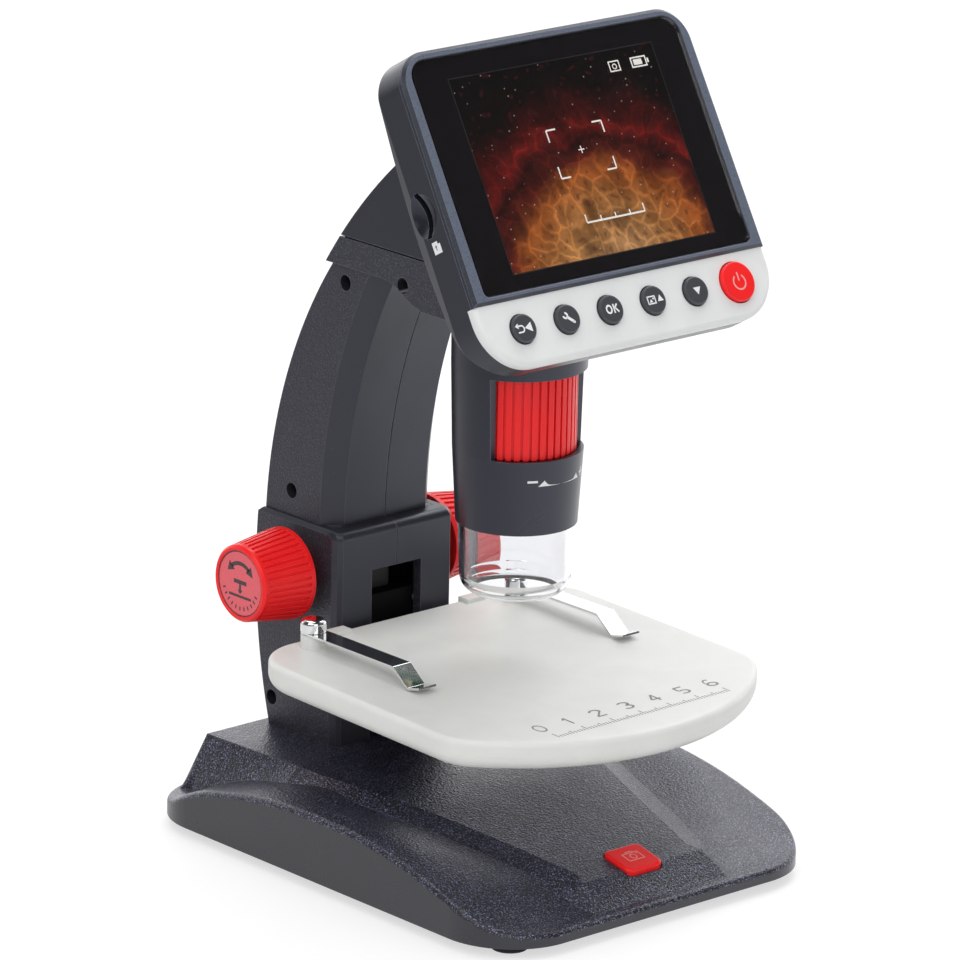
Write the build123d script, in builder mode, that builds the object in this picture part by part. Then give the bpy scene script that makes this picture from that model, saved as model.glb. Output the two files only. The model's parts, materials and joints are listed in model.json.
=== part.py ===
"""Desktop digital microscope: LCD head on a curved arm, geared stage and moulded base.

Units are millimetres. X points right, Y to the back and Z up. The origin lies on the table
under the centre of the base. The operator sits in front, on the -Y side.
"""

import os
from math import cos, pi, radians, sin, sqrt

from build123d import *

os.makedirs("parts", exist_ok=True)

# ---------------------------------------------------------------- driving dimensions

# Base moulding
BASE_WIDTH, BASE_LENGTH = 115.6, 149.0
BASE_CORNER = 20.8
FOOT_HEIGHT = 3.0
DECK_Z = 22.6  # flat deck that carries the pillar
BASE_WALL, PLATE_THICK = 2.5, 1.6

# Pillar and arm, whose backs follow one another as arcs (centre y, centre z, radius)
PILLAR_HALF, PILLAR_FRONT, PILLAR_TOP = 20.7, 35.2, 82.5
ARM_HALF = 19.0
SLEEVE_BACK = (-92.8, 66.6, 162.1)
ARM_BACK = (-72.4, 73.9, 140.0)
ARM_FRONT = (-112.5, 81.3, 152.8)
COLLAR_Z, SEAM_Z = 156.7, 165.0
SHELL = 2.5

# Head: the 3.5 inch screen sets its size
TILT = radians(30)
SCREEN_CENTRE = (0.0, -34.56, 197.14)
HEAD_TOP, HEAD_BOTTOM = 34.7, -50.3
HEAD_HALF_TOP, HEAD_HALF_BOTTOM = 49.5, 50.4
PANEL_LINE = -32.5  # screen frame above, key panel below
FRAME_DEPTH, PANEL_DEPTH, PANEL_DROP = 2.0, 3.6, 0.9
GLASS_HALF, GLASS_TOP, GLASS_BOTTOM = 45.9, 32.3, -30.5
ACTIVE_WIDTH, ACTIVE_HEIGHT = 70.08, 52.56

# Keys
KEY_V, KEY_PITCH = -40.3, 14.85
KEY_R, POWER_R = 3.8, 5.4

# Barrel and optics, on a vertical axis
BARREL_Y = -12.2
WHEEL_R, WHEEL_LOW, WHEEL_HIGH = 15.4, 115.0, 137.0
BARREL_RIM = 94.8
CAP_LOW = 75.5

# Focus drive
SHAFT_Y, SHAFT_Z, SHAFT_R = 51.7, 68.8, 2.5
PINION_TEETH, PINION_R = 16, 5.0
TOOTH_PITCH = 2 * pi * PINION_R / PINION_TEETH
KNOB_INNER, KNOB_OUTER = 24.9, 41.2
KNOB_R_INNER, KNOB_R_OUTER = 12.6, 10.5
FOCUS_DOWN = 16.0  # travel of the stage below its middle height
ROD_X, ROD_Y, ROD_R = 13.0, 42.0, 1.5

# Stage
STAGE_TOP, STAGE_THICK = 56.7, 8.3
STAGE_HALF, STAGE_FRONT, STAGE_BACK = 54.3, -74.5, 33.1
STAGE_NOSE_R, STAGE_CORNER_R = 69.7, 15.0
STAGE_LINE, STAGE_LEAN = 30.0, 0.024  # the plate falls towards the operator from this depth
CLIP_X, CLIP_Y = 36.0, 27.0

# General
RUN = 0.05  # radial clearance of a running fit
GAP = 0.3  # space between parts that move past each other
SEAT = 0.02  # space between parts that are seated on each other


def save(piece: BuildPart, name: str) -> None:
    """Label a finished piece and write its STEP file."""
    piece.part.label = name
    export_step(piece.part, f"parts/{name}.step")


def arc_y(arc: tuple, z: float) -> float:
    """Depth of a side-view arc at height z."""
    return arc[0] + sqrt(arc[2] ** 2 - (z - arc[1]) ** 2)


def side_arc(arc: tuple, z_start: float, z_end: float) -> ThreePointArc:
    """Part of a side-view arc between two heights, drawn on Plane.YZ."""
    heights = (z_start, (z_start + z_end) / 2, z_end)
    return ThreePointArc(*[(arc_y(arc, z), z) for z in heights])


# ---------------------------------------------------------------- base

# Crest of the side wings and ridge of the central deck, as (y, z) points of the side view
WING_CREST = [(78, 6.6), (63, 8.2), (50, 14.1), (33, 18.3), (16, 20.6), (0, 21.2), (-16, 20.8),
              (-30, 19.1), (-40, 17.0), (-52, 13.6), (-60, 10.6), (-66, 8.2), (-78, 5.4)]
DECK_CURVE = [(30, DECK_Z), (8, 22.2), (-16, 20.6), (-32, 18.2), (-47, 15.8), (-58, 13.8), (-64, 12.7),
              (-78, 9.8)]
# Deck from back to front, as (y, half width at the foot, half width at the ridge)
DECK_BACK = [(70.5, 46.5, 45.0), (66, 45.2, 40.0), (30, 42.5, 38.0)]
DECK_MIDDLE = [(30, 42.5, 38.0), (4, 41.0, 34.5), (-16, 37.5, 30.6), (-32, 33.3, 26.2), (-47, 29.6, 22.4),
               (-60, 26.8, 19.2)]
DECK_NOSE = [(-60, 26.8, 19.2), (-64, 25.8, 21.0), (-71.5, 24.5, 23.4)]
VALLEY_DROP = 1.7
RIM_R = 1.6


def between(points: list, y: float) -> float:
    """Value at y of a smooth curve through (y, value) points listed from back to front."""
    if y >= points[0][0]:
        return points[0][1]
    if y <= points[-1][0]:
        return points[-1][1]
    last = len(points) - 1
    i = next(k for k in range(last) if points[k][0] >= y >= points[k + 1][0])
    (y0, a), (y1, b) = points[i], points[i + 1]
    before, after = points[max(i - 1, 0)], points[min(i + 2, last)]
    slope_a = (b - before[1]) / (y1 - before[0])
    slope_b = (after[1] - a) / (after[0] - y0)
    t = (y - y0) / (y1 - y0)
    span = y1 - y0
    return ((2 * t**3 - 3 * t**2 + 1) * a + (t**3 - 2 * t**2 + t) * span * slope_a
            + (3 * t**2 - 2 * t**3) * b + (t**3 - t**2) * span * slope_b)


def wing_height(x: float, y: float) -> float:
    """Height of the moulded apron: a valley beside the deck, rising to the wing crests."""
    crest = between(WING_CREST, y)
    valley = min(crest, between(DECK_CURVE, y) - VALLEY_DROP)
    foot = between([(y_at, half) for y_at, half, _ in DECK_BACK + DECK_MIDDLE[1:] + DECK_NOSE[1:]], y) - 2
    t = min(max((abs(x) - foot) / (53 - foot), 0), 1)
    return valley + (crest - valley) * t * t * (3 - 2 * t)


apron_top = Face.make_surface_from_array_of_points(
    [[(x, y, wing_height(x, y)) for x in range(-60, 61, 6)] for y in range(-78, 79, 6)], tol=0.03)

with BuildPart() as apron:
    with BuildSketch(Plane.XY.offset(FOOT_HEIGHT)):
        RectangleRounded(BASE_WIDTH, BASE_LENGTH, BASE_CORNER)
    extrude(amount=26)
    split(bisect_by=apron_top, keep=Keep.TOP)
    fillet(apron.faces().filter_by(GeomType.BSPLINE).sort_by(SortBy.AREA)[-1].edges(), RIM_R)


def deck_section(y: float, foot: float, ridge: float) -> Sketch:
    """Cross-section of the raised deck, down to inside the base."""
    low = wing_height(foot, y)
    top = max(between(DECK_CURVE, y), low) if abs(y) < 69 else low
    with BuildSketch(Plane.XZ.offset(-y)) as section:
        Polygon((-foot, 5), (foot, 5), (foot, min(low, top - 0.2)), (ridge, top), (-ridge, top),
                (-foot, min(low, top - 0.2)), align=None)
    return section.sketch


with BuildPart() as deck:
    for stations, ruled in ((DECK_BACK, True), (DECK_MIDDLE, False), (DECK_NOSE, True)):
        loft([deck_section(*station) for station in stations], ruled=ruled)

# Snapshot key on the front of the deck, square to the sloping surface
SHUTTER_Y, SHUTTER_TOP = -60.5, 14.4
SHUTTER_W, SHUTTER_L, SHUTTER_R = 12.6, 11.0, 2.0
CAVITY_DEEP = 5.2  # roof of the hollow under the key, below the key's face
shutter_face = Plane(origin=(0, SHUTTER_Y, SHUTTER_TOP), x_dir=(1, 0, 0), z_dir=(0, -0.22, 1))

with BuildPart() as base_shell:
    add(apron.part)
    add(deck.part)
    # hollow for the wiring and the switch board, open below
    with BuildSketch(Plane.XY.offset(FOOT_HEIGHT)):
        RectangleRounded(BASE_WIDTH - 2 * BASE_WALL, BASE_LENGTH - 2 * BASE_WALL, BASE_CORNER - BASE_WALL)
    extrude(amount=PLATE_THICK, mode=Mode.SUBTRACT)
    with BuildSketch(Plane.XY.offset(FOOT_HEIGHT)):
        with Locations((0, 22)):
            RectangleRounded(68, 80, 6)
    extrude(amount=14, mode=Mode.SUBTRACT)
    with BuildSketch(shutter_face.offset(-CAVITY_DEEP)):
        Rectangle(24, 18)
    extrude(amount=-10, mode=Mode.SUBTRACT)
    with BuildSketch(shutter_face.offset(-10)):
        RectangleRounded(SHUTTER_W + 2 * GAP, SHUTTER_L + 2 * GAP, SHUTTER_R + GAP)
    extrude(amount=20, mode=Mode.SUBTRACT)
save(base_shell, "base_shell")

FOOT_SPOTS = [(sx * 44.3, sy * 62.0) for sx in (-1, 1) for sy in (-1, 1)]
BASE_SCREW_SPOTS = [(sx * 36, y) for sx in (-1, 1) for y in (-46, 66)]

with BuildPart() as base_plate:
    with BuildSketch(Plane.XY.offset(FOOT_HEIGHT)):
        RectangleRounded(BASE_WIDTH - 2 * BASE_WALL - 0.4, BASE_LENGTH - 2 * BASE_WALL - 0.4,
                         BASE_CORNER - BASE_WALL)
    extrude(amount=PLATE_THICK)
    with Locations(*[(x, y, FOOT_HEIGHT) for x, y in BASE_SCREW_SPOTS]):
        Cylinder(1.6, 4, mode=Mode.SUBTRACT)
save(base_plate, "base_plate")

with BuildPart() as base_feet:
    with BuildSketch(Plane.XY):
        with Locations(*FOOT_SPOTS):
            Circle(5.3)
    extrude(amount=FOOT_HEIGHT)
    chamfer(base_feet.faces().filter_by(Axis.Z).group_by(Axis.Z)[0].edges(), 0.6)
save(base_feet, "base_feet")

with BuildPart() as base_screws:
    with BuildSketch(Plane.XY.offset(FOOT_HEIGHT)):
        with Locations(*BASE_SCREW_SPOTS):
            Circle(1.5)
    extrude(amount=PLATE_THICK)
save(base_screws, "base_screws")

with BuildPart() as shutter_board:
    with BuildSketch(Plane.XY.offset(FOOT_HEIGHT + PLATE_THICK)):
        with Locations((0, SHUTTER_Y)):
            Rectangle(18, 11)
    extrude(amount=1.2)
    with BuildSketch(Plane.XY.offset(FOOT_HEIGHT + PLATE_THICK + 1.2)):
        with Locations((0, SHUTTER_Y)):
            Rectangle(4, 4)
    extrude(amount=0.8)
save(shutter_board, "shutter_board")

with BuildPart() as button_shutter:
    with BuildSketch(shutter_face):
        RectangleRounded(SHUTTER_W, SHUTTER_L, SHUTTER_R)
    extrude(amount=-CAVITY_DEEP - 0.8)
    fillet(button_shutter.faces().sort_by(Axis.Z)[-1].edges(), 0.9)
    with BuildSketch(shutter_face.offset(-CAVITY_DEEP - 1.1)):
        Rectangle(15, 12.4)
    extrude(amount=0.9)
save(button_shutter, "button_shutter")


# ---------------------------------------------------------------- pillar

PILLAR_CAVITY = (17.5, 38.2, 60.5)  # half width, front y, back y
SLOT_HALF, SLOT_TOP = 8.7, 70.4
SEAM_HALF, SEAM_DEPTH = 0.15, 0.6
PILLAR_SCREWS = [(62.2, 30.0)]
PILLAR_CORNER, PILLAR_BROW = 1.8, 2.4  # upright front corners, rounded top of the front
SPIGOT_LOW, SPIGOT_FRONT, SPIGOT_BACK = 76.0, 40.9, 60.2


def pillar_profile() -> Sketch:
    """Side view of the pillar, on Plane.YZ."""
    with BuildSketch() as profile:
        with BuildLine():
            back = side_arc(SLEEVE_BACK, DECK_Z, PILLAR_TOP)
            Polyline(back @ 1, (PILLAR_FRONT, PILLAR_TOP), (PILLAR_FRONT, DECK_Z), back @ 0)
        make_face()
    return profile.sketch


def pillar_body() -> Part:
    """Whole pillar before it is halved: a sleeve for the carrier with a slot in its front."""
    half, front, back = PILLAR_CAVITY
    with BuildPart() as body:
        with BuildSketch(Plane.YZ):
            add(pillar_profile())
        extrude(amount=PILLAR_HALF, both=True)
        chamfer(body.edges().filter_by(Axis.Z).group_by(Axis.Y)[0], PILLAR_CORNER)
        fillet(body.faces().sort_by(Axis.Z)[-1].edges().sort_by(Axis.Y)[:3], PILLAR_BROW)
        chamfer(body.faces().sort_by(Axis.Z)[-1].edges().sort_by(Axis.Y)[-3:], 1.0)
        # carrier well below, narrower socket for the arm's spigot above
        with BuildSketch(Plane.XY.offset(DECK_Z)):
            with Locations((0, (front + back) / 2)):
                Rectangle(2 * half, back - front)
        extrude(amount=SPIGOT_LOW - DECK_Z, mode=Mode.SUBTRACT)
        with BuildSketch(Plane.XY.offset(SPIGOT_LOW)):
            with Locations((0, back)):
                Rectangle(2 * half, back - SPIGOT_FRONT + 0.2, align=(Align.CENTER, Align.MAX))
        extrude(amount=PILLAR_TOP, mode=Mode.SUBTRACT)
        with BuildSketch(Plane.XZ.offset(-front - 1)):
            with Locations((0, (DECK_Z + SLOT_TOP) / 2)):
                Rectangle(2 * SLOT_HALF, SLOT_TOP - DECK_Z)
        extrude(amount=10, mode=Mode.SUBTRACT)
        with BuildSketch(Plane.YZ):
            with Locations((SHAFT_Y, SHAFT_Z)):
                Circle(4.2)
        extrude(amount=PILLAR_HALF, both=True, mode=Mode.SUBTRACT)
        with BuildSketch(Plane.YZ):
            with Locations(*PILLAR_SCREWS):
                Circle(2.1)
        extrude(amount=-PILLAR_HALF, mode=Mode.SUBTRACT)
        with BuildSketch(Plane.YZ):
            add(pillar_profile())
            with Locations((PILLAR_FRONT + SEAM_DEPTH, DECK_Z)):
                Rectangle(60, 120, align=(Align.MIN, Align.CENTER), mode=Mode.SUBTRACT)
        extrude(amount=SEAM_HALF, both=True, mode=Mode.SUBTRACT)
    return body.part


pillar = pillar_body()
with BuildPart() as pillar_left:
    add(pillar)
    split(bisect_by=Plane.YZ, keep=Keep.BOTTOM)
save(pillar_left, "pillar_left")

with BuildPart() as pillar_right:
    add(pillar)
    split(bisect_by=Plane.YZ, keep=Keep.TOP)
save(pillar_right, "pillar_right")

with BuildPart() as pillar_screws:
    with BuildSketch(Plane.YZ.offset(-PILLAR_HALF + 2.5)):
        with Locations(*PILLAR_SCREWS):
            Circle(2.0)
    extrude(amount=2.0)
save(pillar_screws, "pillar_screws")


# ---------------------------------------------------------------- arm

ARM_SCREWS = [(35.8, 151.6), (56.8, 89.4)]


def arm_profile(inset: float = 0) -> Sketch:
    """Side view of the arm, on Plane.YZ."""
    with BuildSketch() as profile:
        with BuildLine():
            back = side_arc(ARM_BACK, PILLAR_TOP, COLLAR_Z)
            front = side_arc(ARM_FRONT, COLLAR_Z, PILLAR_TOP)
            Line(back @ 1, front @ 0)
            Line(front @ 1, back @ 0)
        make_face()
        if inset:
            offset(amount=-inset)
    return profile.sketch


def arm_body() -> Part:
    """Whole arm before it is halved: hollow, with a spigot that plugs into the pillar."""
    with BuildPart() as body:
        with BuildSketch(Plane.YZ):
            add(arm_profile())
        extrude(amount=ARM_HALF, both=True)
        front_face = body.faces().filter_by(GeomType.CYLINDER).sort_by(Axis.Y)[0]
        chamfer(front_face.edges().group_by(SortBy.LENGTH)[-1], 4.7)
        with BuildSketch(Plane.XY.offset(SPIGOT_LOW)):
            with Locations((0, (SPIGOT_FRONT + SPIGOT_BACK) / 2)):
                Rectangle(2 * PILLAR_CAVITY[0] - 0.4, SPIGOT_BACK - SPIGOT_FRONT)
        extrude(amount=PILLAR_TOP - SPIGOT_LOW)
        # hollow, open at the bottom for the rack
        with BuildSketch(Plane.YZ):
            add(arm_profile(SHELL))
        extrude(amount=ARM_HALF - SHELL - 2.5, both=True, mode=Mode.SUBTRACT)
        with BuildSketch(Plane.XY.offset(SPIGOT_LOW)):
            with Locations((0, 50.5)):
                Rectangle(28, 16.5)
        extrude(amount=12, mode=Mode.SUBTRACT)
        with BuildSketch(Plane.YZ):
            with Locations(*ARM_SCREWS):
                Circle(2.15)
        extrude(amount=-ARM_HALF, mode=Mode.SUBTRACT)
        with BuildSketch(Plane.YZ):
            add(arm_profile())
            add(arm_profile(SEAM_DEPTH), mode=Mode.SUBTRACT)
        extrude(amount=SEAM_HALF, both=True, mode=Mode.SUBTRACT)
    return body.part


arm = arm_body()
with BuildPart() as arm_left:
    add(arm)
    split(bisect_by=Plane.YZ, keep=Keep.BOTTOM)
save(arm_left, "arm_left")

with BuildPart() as arm_right:
    add(arm)
    split(bisect_by=Plane.YZ, keep=Keep.TOP)
save(arm_right, "arm_right")

with BuildPart() as arm_screws:
    with BuildSketch(Plane.YZ.offset(-ARM_HALF + 3)):
        with Locations(*ARM_SCREWS):
            Circle(2.05)
    extrude(amount=2.0)
save(arm_screws, "arm_screws")


# ---------------------------------------------------------------- head planes and outlines

head_face = Plane(origin=SCREEN_CENTRE, x_dir=(1, 0, 0), z_dir=(0, -cos(TILT), sin(TILT)))
head_side = Plane(origin=SCREEN_CENTRE, x_dir=head_face.y_dir, z_dir=(1, 0, 0))
# Back of the head in side view, as (v up the screen, w in front of it)
BACK_CURVE = [(40, -9.5), (28, -11.0), (10, -13.6), (-12, -15.0), (-30, -13.8), (-42, -11.2), (-55, -7.0)]
BEVEL_IN, BEVEL_ANGLE = 1.8, 17.0  # bevel round the back of the head


def head_outline(inset: float = 0) -> Sketch:
    """Front view of the head with its round corners, in the head's own plane."""
    with BuildSketch() as outline:
        with BuildLine():
            Polyline((-HEAD_HALF_TOP, HEAD_TOP), (HEAD_HALF_TOP, HEAD_TOP),
                     (HEAD_HALF_BOTTOM, HEAD_BOTTOM), (-HEAD_HALF_BOTTOM, HEAD_BOTTOM), close=True)
        make_face()
        fillet(outline.vertices().group_by(Axis.Y)[-1], 9.5)
        fillet(outline.vertices().group_by(Axis.Y)[0], 14.0)
        if inset:
            offset(amount=-inset)
    return outline.sketch


def glass_outline(grow: float = 0) -> Sketch:
    """Window of the screen frame."""
    middle = (GLASS_TOP + GLASS_BOTTOM) / 2
    with BuildSketch() as outline:
        with Locations((0, middle)):
            Rectangle(2 * (GLASS_HALF + grow), GLASS_TOP - GLASS_BOTTOM + 2 * grow)
        fillet(outline.vertices().group_by(Axis.Y)[-1], 5.0)
        fillet(outline.vertices().group_by(Axis.Y)[0], 1.5)
    return outline.sketch


def head_mass(inset: float = 0) -> Part:
    """Head between its front plane and its curved back."""
    with BuildPart() as mass:
        with BuildSketch(head_face.offset(-20)):
            add(head_outline(inset))
        extrude(amount=20 - FRAME_DEPTH)
        with BuildSketch(head_side):
            with BuildLine():
                back = Spline(*[(v, w + inset) for v, w in BACK_CURVE])
                Polyline(back @ 1, (-60, 5), (45, 5), back @ 0)
            make_face()
        extrude(amount=60, both=True, mode=Mode.INTERSECT)
        with BuildSketch(head_face.offset(-17)):
            add(head_outline(inset + BEVEL_IN))
        extrude(amount=17, taper=-BEVEL_ANGLE, mode=Mode.INTERSECT)
    return mass.part


def below_line(line: float) -> Sketch:
    """Everything of the head's front view under a level line."""
    with BuildSketch() as area:
        with Locations((0, line)):
            Rectangle(120, 60, align=(Align.CENTER, Align.MAX))
    return area.sketch


# ---------------------------------------------------------------- head shells

NECK_FRONT = [(-40.0, SEAM_Z), (-15.1, 208.9)]
CARD_V, CARD_W, CARD_LENGTH, CARD_SLIT = -5.4, -8.6, 12.0, 2.0
USB_V, USB_W = -6.0, -7.8
BATTERY = (32.0, 26.0, 8.0)
SCOOP_R, SCOOP_DEPTH, SCOOP_W = 8.5, 1.7, -8.8

with BuildPart() as head_back:
    add(head_mass())
    with BuildSketch(Plane.YZ):
        with BuildLine():
            back = side_arc(SLEEVE_BACK, SEAM_Z, 208.75)
            Polyline(back @ 1, NECK_FRONT[1], NECK_FRONT[0], back @ 0)
        make_face()
    extrude(amount=PILLAR_HALF, both=True)
    # step for the key panel
    with BuildSketch(head_face.offset(-PANEL_DEPTH)):
        add(below_line(PANEL_LINE))
    extrude(amount=10, mode=Mode.SUBTRACT)
    # hollow for the boards
    with BuildSketch(head_face.offset(-7.6)):
        add(head_outline(2.2))
        with Locations((0, -47)):
            Rectangle(120, 20, align=(Align.CENTER, Align.MAX), mode=Mode.SUBTRACT)
    extrude(amount=10, mode=Mode.SUBTRACT)
    with BuildSketch(head_face.offset(-9.4)):
        with Locations((0, -4)):
            Rectangle(93, 60)
    extrude(amount=5, mode=Mode.SUBTRACT)
    with BuildSketch(head_face.offset(-18)):
        Rectangle(BATTERY[0] + 1, BATTERY[1] + 1)
    extrude(amount=12, mode=Mode.SUBTRACT)
    # memory card slit in a thumb scoop on the left, charging port on the right
    with BuildSketch(head_side.offset(-60)):
        with Locations((CARD_V, CARD_W)):
            Rectangle(CARD_LENGTH, CARD_SLIT)
    extrude(amount=15, mode=Mode.SUBTRACT)
    scoop_plane = head_side.offset(-SCOOP_R - HEAD_HALF_TOP + SCOOP_DEPTH)
    with Locations(scoop_plane * Location((CARD_V, SCOOP_W, 0))):
        Sphere(SCOOP_R, mode=Mode.SUBTRACT)
    with BuildSketch(head_side.offset(45)):
        with Locations((USB_V, USB_W)):
            RectangleRounded(8.0, 3.0, 0.8)
    extrude(amount=10, mode=Mode.SUBTRACT)
save(head_back, "head_back")

with BuildPart() as screen_frame:
    with BuildSketch(head_face.offset(-FRAME_DEPTH)):
        add(head_outline())
        add(below_line(PANEL_LINE), mode=Mode.SUBTRACT)
        add(glass_outline(), mode=Mode.SUBTRACT)
    extrude(amount=FRAME_DEPTH)
    front = screen_frame.faces().filter_by(head_face).sort_by(Axis(SCREEN_CENTRE, head_face.z_dir))[-1]
    chamfer(front.outer_wire().edges(), 0.9)
    chamfer(front.inner_wires()[0].edges(), 0.4)
save(screen_frame, "screen_frame")

with BuildPart() as screen_glass:
    with BuildSketch(head_face.offset(-1.2)):
        add(glass_outline(-0.05))
    extrude(amount=1.0)
save(screen_glass, "screen_glass")

with BuildPart() as lcd_panel:
    with BuildSketch(head_face.offset(-4.0)):
        with Locations((0, -0.6)):
            Rectangle(ACTIVE_WIDTH + 7, ACTIVE_HEIGHT + 6)
    extrude(amount=2.7)
save(lcd_panel, "lcd_panel")


# ---------------------------------------------------------------- key panel and keys

KEY_NAMES = ["button_back", "button_setup", "button_ok", "button_up", "button_down", "button_power"]
KEY_SPOTS = [((i - 2.5) * KEY_PITCH, KEY_V) for i in range(6)]
KEY_RADII = [KEY_R] * 5 + [POWER_R]
KEY_PROUD, FLANGE_TOP, FLANGE_LOW = 1.3, -3.9, -4.7

with BuildPart() as control_panel:
    with BuildSketch(head_face.offset(-PANEL_DEPTH)):
        add(head_outline())
        add(below_line(PANEL_LINE), mode=Mode.INTERSECT)
    extrude(amount=PANEL_DEPTH - PANEL_DROP)
    front = control_panel.faces().filter_by(head_face).sort_by(Axis(SCREEN_CENTRE, head_face.z_dir))[-1]
    fillet(front.edges().sort_by(Axis(SCREEN_CENTRE, head_face.y_dir))[:-1], 1.5)
    with BuildSketch(head_face):
        for spot, radius in zip(KEY_SPOTS, KEY_RADII):
            with Locations(spot):
                Circle(radius + 0.25)
    extrude(amount=-10, mode=Mode.SUBTRACT)
save(control_panel, "control_panel")

for name, spot, radius in zip(KEY_NAMES, KEY_SPOTS, KEY_RADII):
    with BuildPart() as key:
        with BuildSketch(head_face.offset(FLANGE_LOW)):
            with Locations(spot):
                Circle(radius)
        extrude(amount=KEY_PROUD - PANEL_DROP - FLANGE_LOW)
        fillet(key.edges().sort_by(Axis(SCREEN_CENTRE, head_face.z_dir))[-1], 0.6)
        with BuildSketch(head_face.offset(FLANGE_LOW)):
            with Locations(spot):
                Circle(radius + 0.9)
        extrude(amount=FLANGE_TOP - FLANGE_LOW)
    save(key, name)

with BuildPart() as button_board:
    with BuildSketch(head_face.offset(-7.4)):
        with Locations((0, -39.2)):
            Rectangle(88, 9)
    extrude(amount=0.9)
save(button_board, "button_board")

with BuildPart() as button_switches:
    with BuildSketch(head_face.offset(-6.5)):
        with Locations(*KEY_SPOTS):
            Rectangle(3.5, 3.5)
    extrude(amount=0.9)
save(button_switches, "button_switches")

with BuildPart() as main_board:
    with BuildSketch(head_face.offset(-6.2)):
        with Locations((0, -3)):
            Rectangle(80, 54)
    extrude(amount=1.4)
save(main_board, "main_board")

with BuildPart() as card_socket:
    with BuildSketch(head_side.offset(-46.4)):
        with Locations((CARD_V, -7.7)):
            Rectangle(15, 3.0)
            with Locations((0, CARD_W + 7.7)):
                Rectangle(CARD_LENGTH - 0.4, CARD_SLIT - 0.2, mode=Mode.SUBTRACT)
    extrude(amount=15)
save(card_socket, "card_socket")

with BuildPart() as usb_socket:
    with BuildSketch(head_side.offset(39.5)):
        with Locations((USB_V, USB_W)):
            RectangleRounded(7.6, 2.8, 0.7)
    extrude(amount=9.0)
    with BuildSketch(head_side.offset(43.0)):
        with Locations((USB_V, USB_W)):
            RectangleRounded(6.8, 2.0, 0.4)
            Rectangle(4.6, 0.6, mode=Mode.SUBTRACT)
    extrude(amount=9.0, mode=Mode.SUBTRACT)
save(usb_socket, "usb_socket")

with BuildPart() as battery:
    with BuildSketch(head_face.offset(-17.8)):
        Rectangle(BATTERY[0], BATTERY[1])
    extrude(amount=BATTERY[2])
save(battery, "battery")


# ---------------------------------------------------------------- collar

COLLAR_LOW = 150.9
COLLAR_FRONT = (-51.9, COLLAR_LOW)
BORE_R = 18.2
COLLAR_SCREWS = [(11.0, 156.4)]
SEAM_GAP, SEAM_IN = 0.5, 0.8  # shadow line under the neck of the head


def collar_body() -> Part:
    """Whole collar before it is halved: joins the arm, the barrel and the back of the head."""
    with BuildPart() as body:
        with BuildSketch(Plane.YZ):
            with BuildLine():
                back = side_arc(SLEEVE_BACK, COLLAR_Z, SEAM_Z)
                swoop = Spline((19.8, COLLAR_Z), (11, 154.0), (1, COLLAR_LOW), tangents=[(-1, 0), (-1, 0)])
                Polyline(back @ 1, NECK_FRONT[0], COLLAR_FRONT, swoop @ 1)
                Line(swoop @ 0, back @ 0)
            make_face()
        extrude(amount=PILLAR_HALF, both=True)
        with BuildSketch(Plane.XY.offset(SEAM_Z)):
            Rectangle(120, 160)
            with Locations((0, arc_y(SLEEVE_BACK, SEAM_Z) - SEAM_IN)):
                Rectangle(2 * (PILLAR_HALF - SEAM_IN), 120, align=(Align.CENTER, Align.MAX),
                          mode=Mode.SUBTRACT)
        extrude(amount=-SEAM_GAP, mode=Mode.SUBTRACT)
        add(head_mass(-SEAT), mode=Mode.SUBTRACT)
        with BuildSketch(Plane.XY.offset(COLLAR_LOW)):
            with Locations((0, BARREL_Y)):
                Circle(BORE_R)
        extrude(amount=11, mode=Mode.SUBTRACT)
        with BuildSketch(Plane.YZ):
            with Locations(*COLLAR_SCREWS):
                Circle(2.15)
        extrude(amount=-PILLAR_HALF, mode=Mode.SUBTRACT)
    return body.part


collar = collar_body()
with BuildPart() as collar_left:
    add(collar)
    split(bisect_by=Plane.YZ, keep=Keep.BOTTOM)
save(collar_left, "collar_left")

with BuildPart() as collar_right:
    add(collar)
    split(bisect_by=Plane.YZ, keep=Keep.TOP)
save(collar_right, "collar_right")

with BuildPart() as collar_screws:
    with BuildSketch(Plane.YZ.offset(-PILLAR_HALF + 3)):
        with Locations(*COLLAR_SCREWS):
            Circle(2.05)
    extrude(amount=2.0)
save(collar_screws, "collar_screws")


# ---------------------------------------------------------------- barrel and optics

barrel_section = Plane(origin=(0, BARREL_Y, 0), x_dir=(1, 0, 0), z_dir=(0, -1, 0))
optical_axis = Axis((0, BARREL_Y, 0), (0, 0, 1))
WINDOW_FLAT = 7.0  # the window's plane in front of the axis
CARRIER_R, CARRIER_BORE = 11.6, 9.0
WHEEL_BORE = 12.0
WHEEL_RIBS = 42
GROOVE_DEPTH, GROOVE_WIDTH = 0.9, 0.8
LED_RING_R, LED_COUNT = 10.2, 8
LENS_CURVE = 26.0

with BuildPart() as barrel_shell:
    with BuildSketch(barrel_section):
        with BuildLine():
            Polyline((14.6, BARREL_RIM), (16.1, BARREL_RIM), (17.3, WHEEL_LOW), (17.9, WHEEL_HIGH),
                     (18.1, 160), (16.2, 160), (16.2, WHEEL_HIGH + 2), (13, WHEEL_HIGH + 2),
                     (13, WHEEL_HIGH + 0.4), (15.9, WHEEL_HIGH + 0.4), (15.9, WHEEL_LOW - 0.4),
                     (13, WHEEL_LOW - 0.4), (13, WHEEL_LOW - 2), (14.6, WHEEL_LOW - 2), close=True)
        make_face()
    revolve(axis=optical_axis)
    with BuildSketch(Plane.XY.offset(WHEEL_LOW)):
        with Locations((0, BARREL_Y - WINDOW_FLAT)):
            Rectangle(50, 20, align=(Align.CENTER, Align.MAX))
    extrude(amount=WHEEL_HIGH - WHEEL_LOW, mode=Mode.SUBTRACT)
save(barrel_shell, "barrel_shell")

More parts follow.
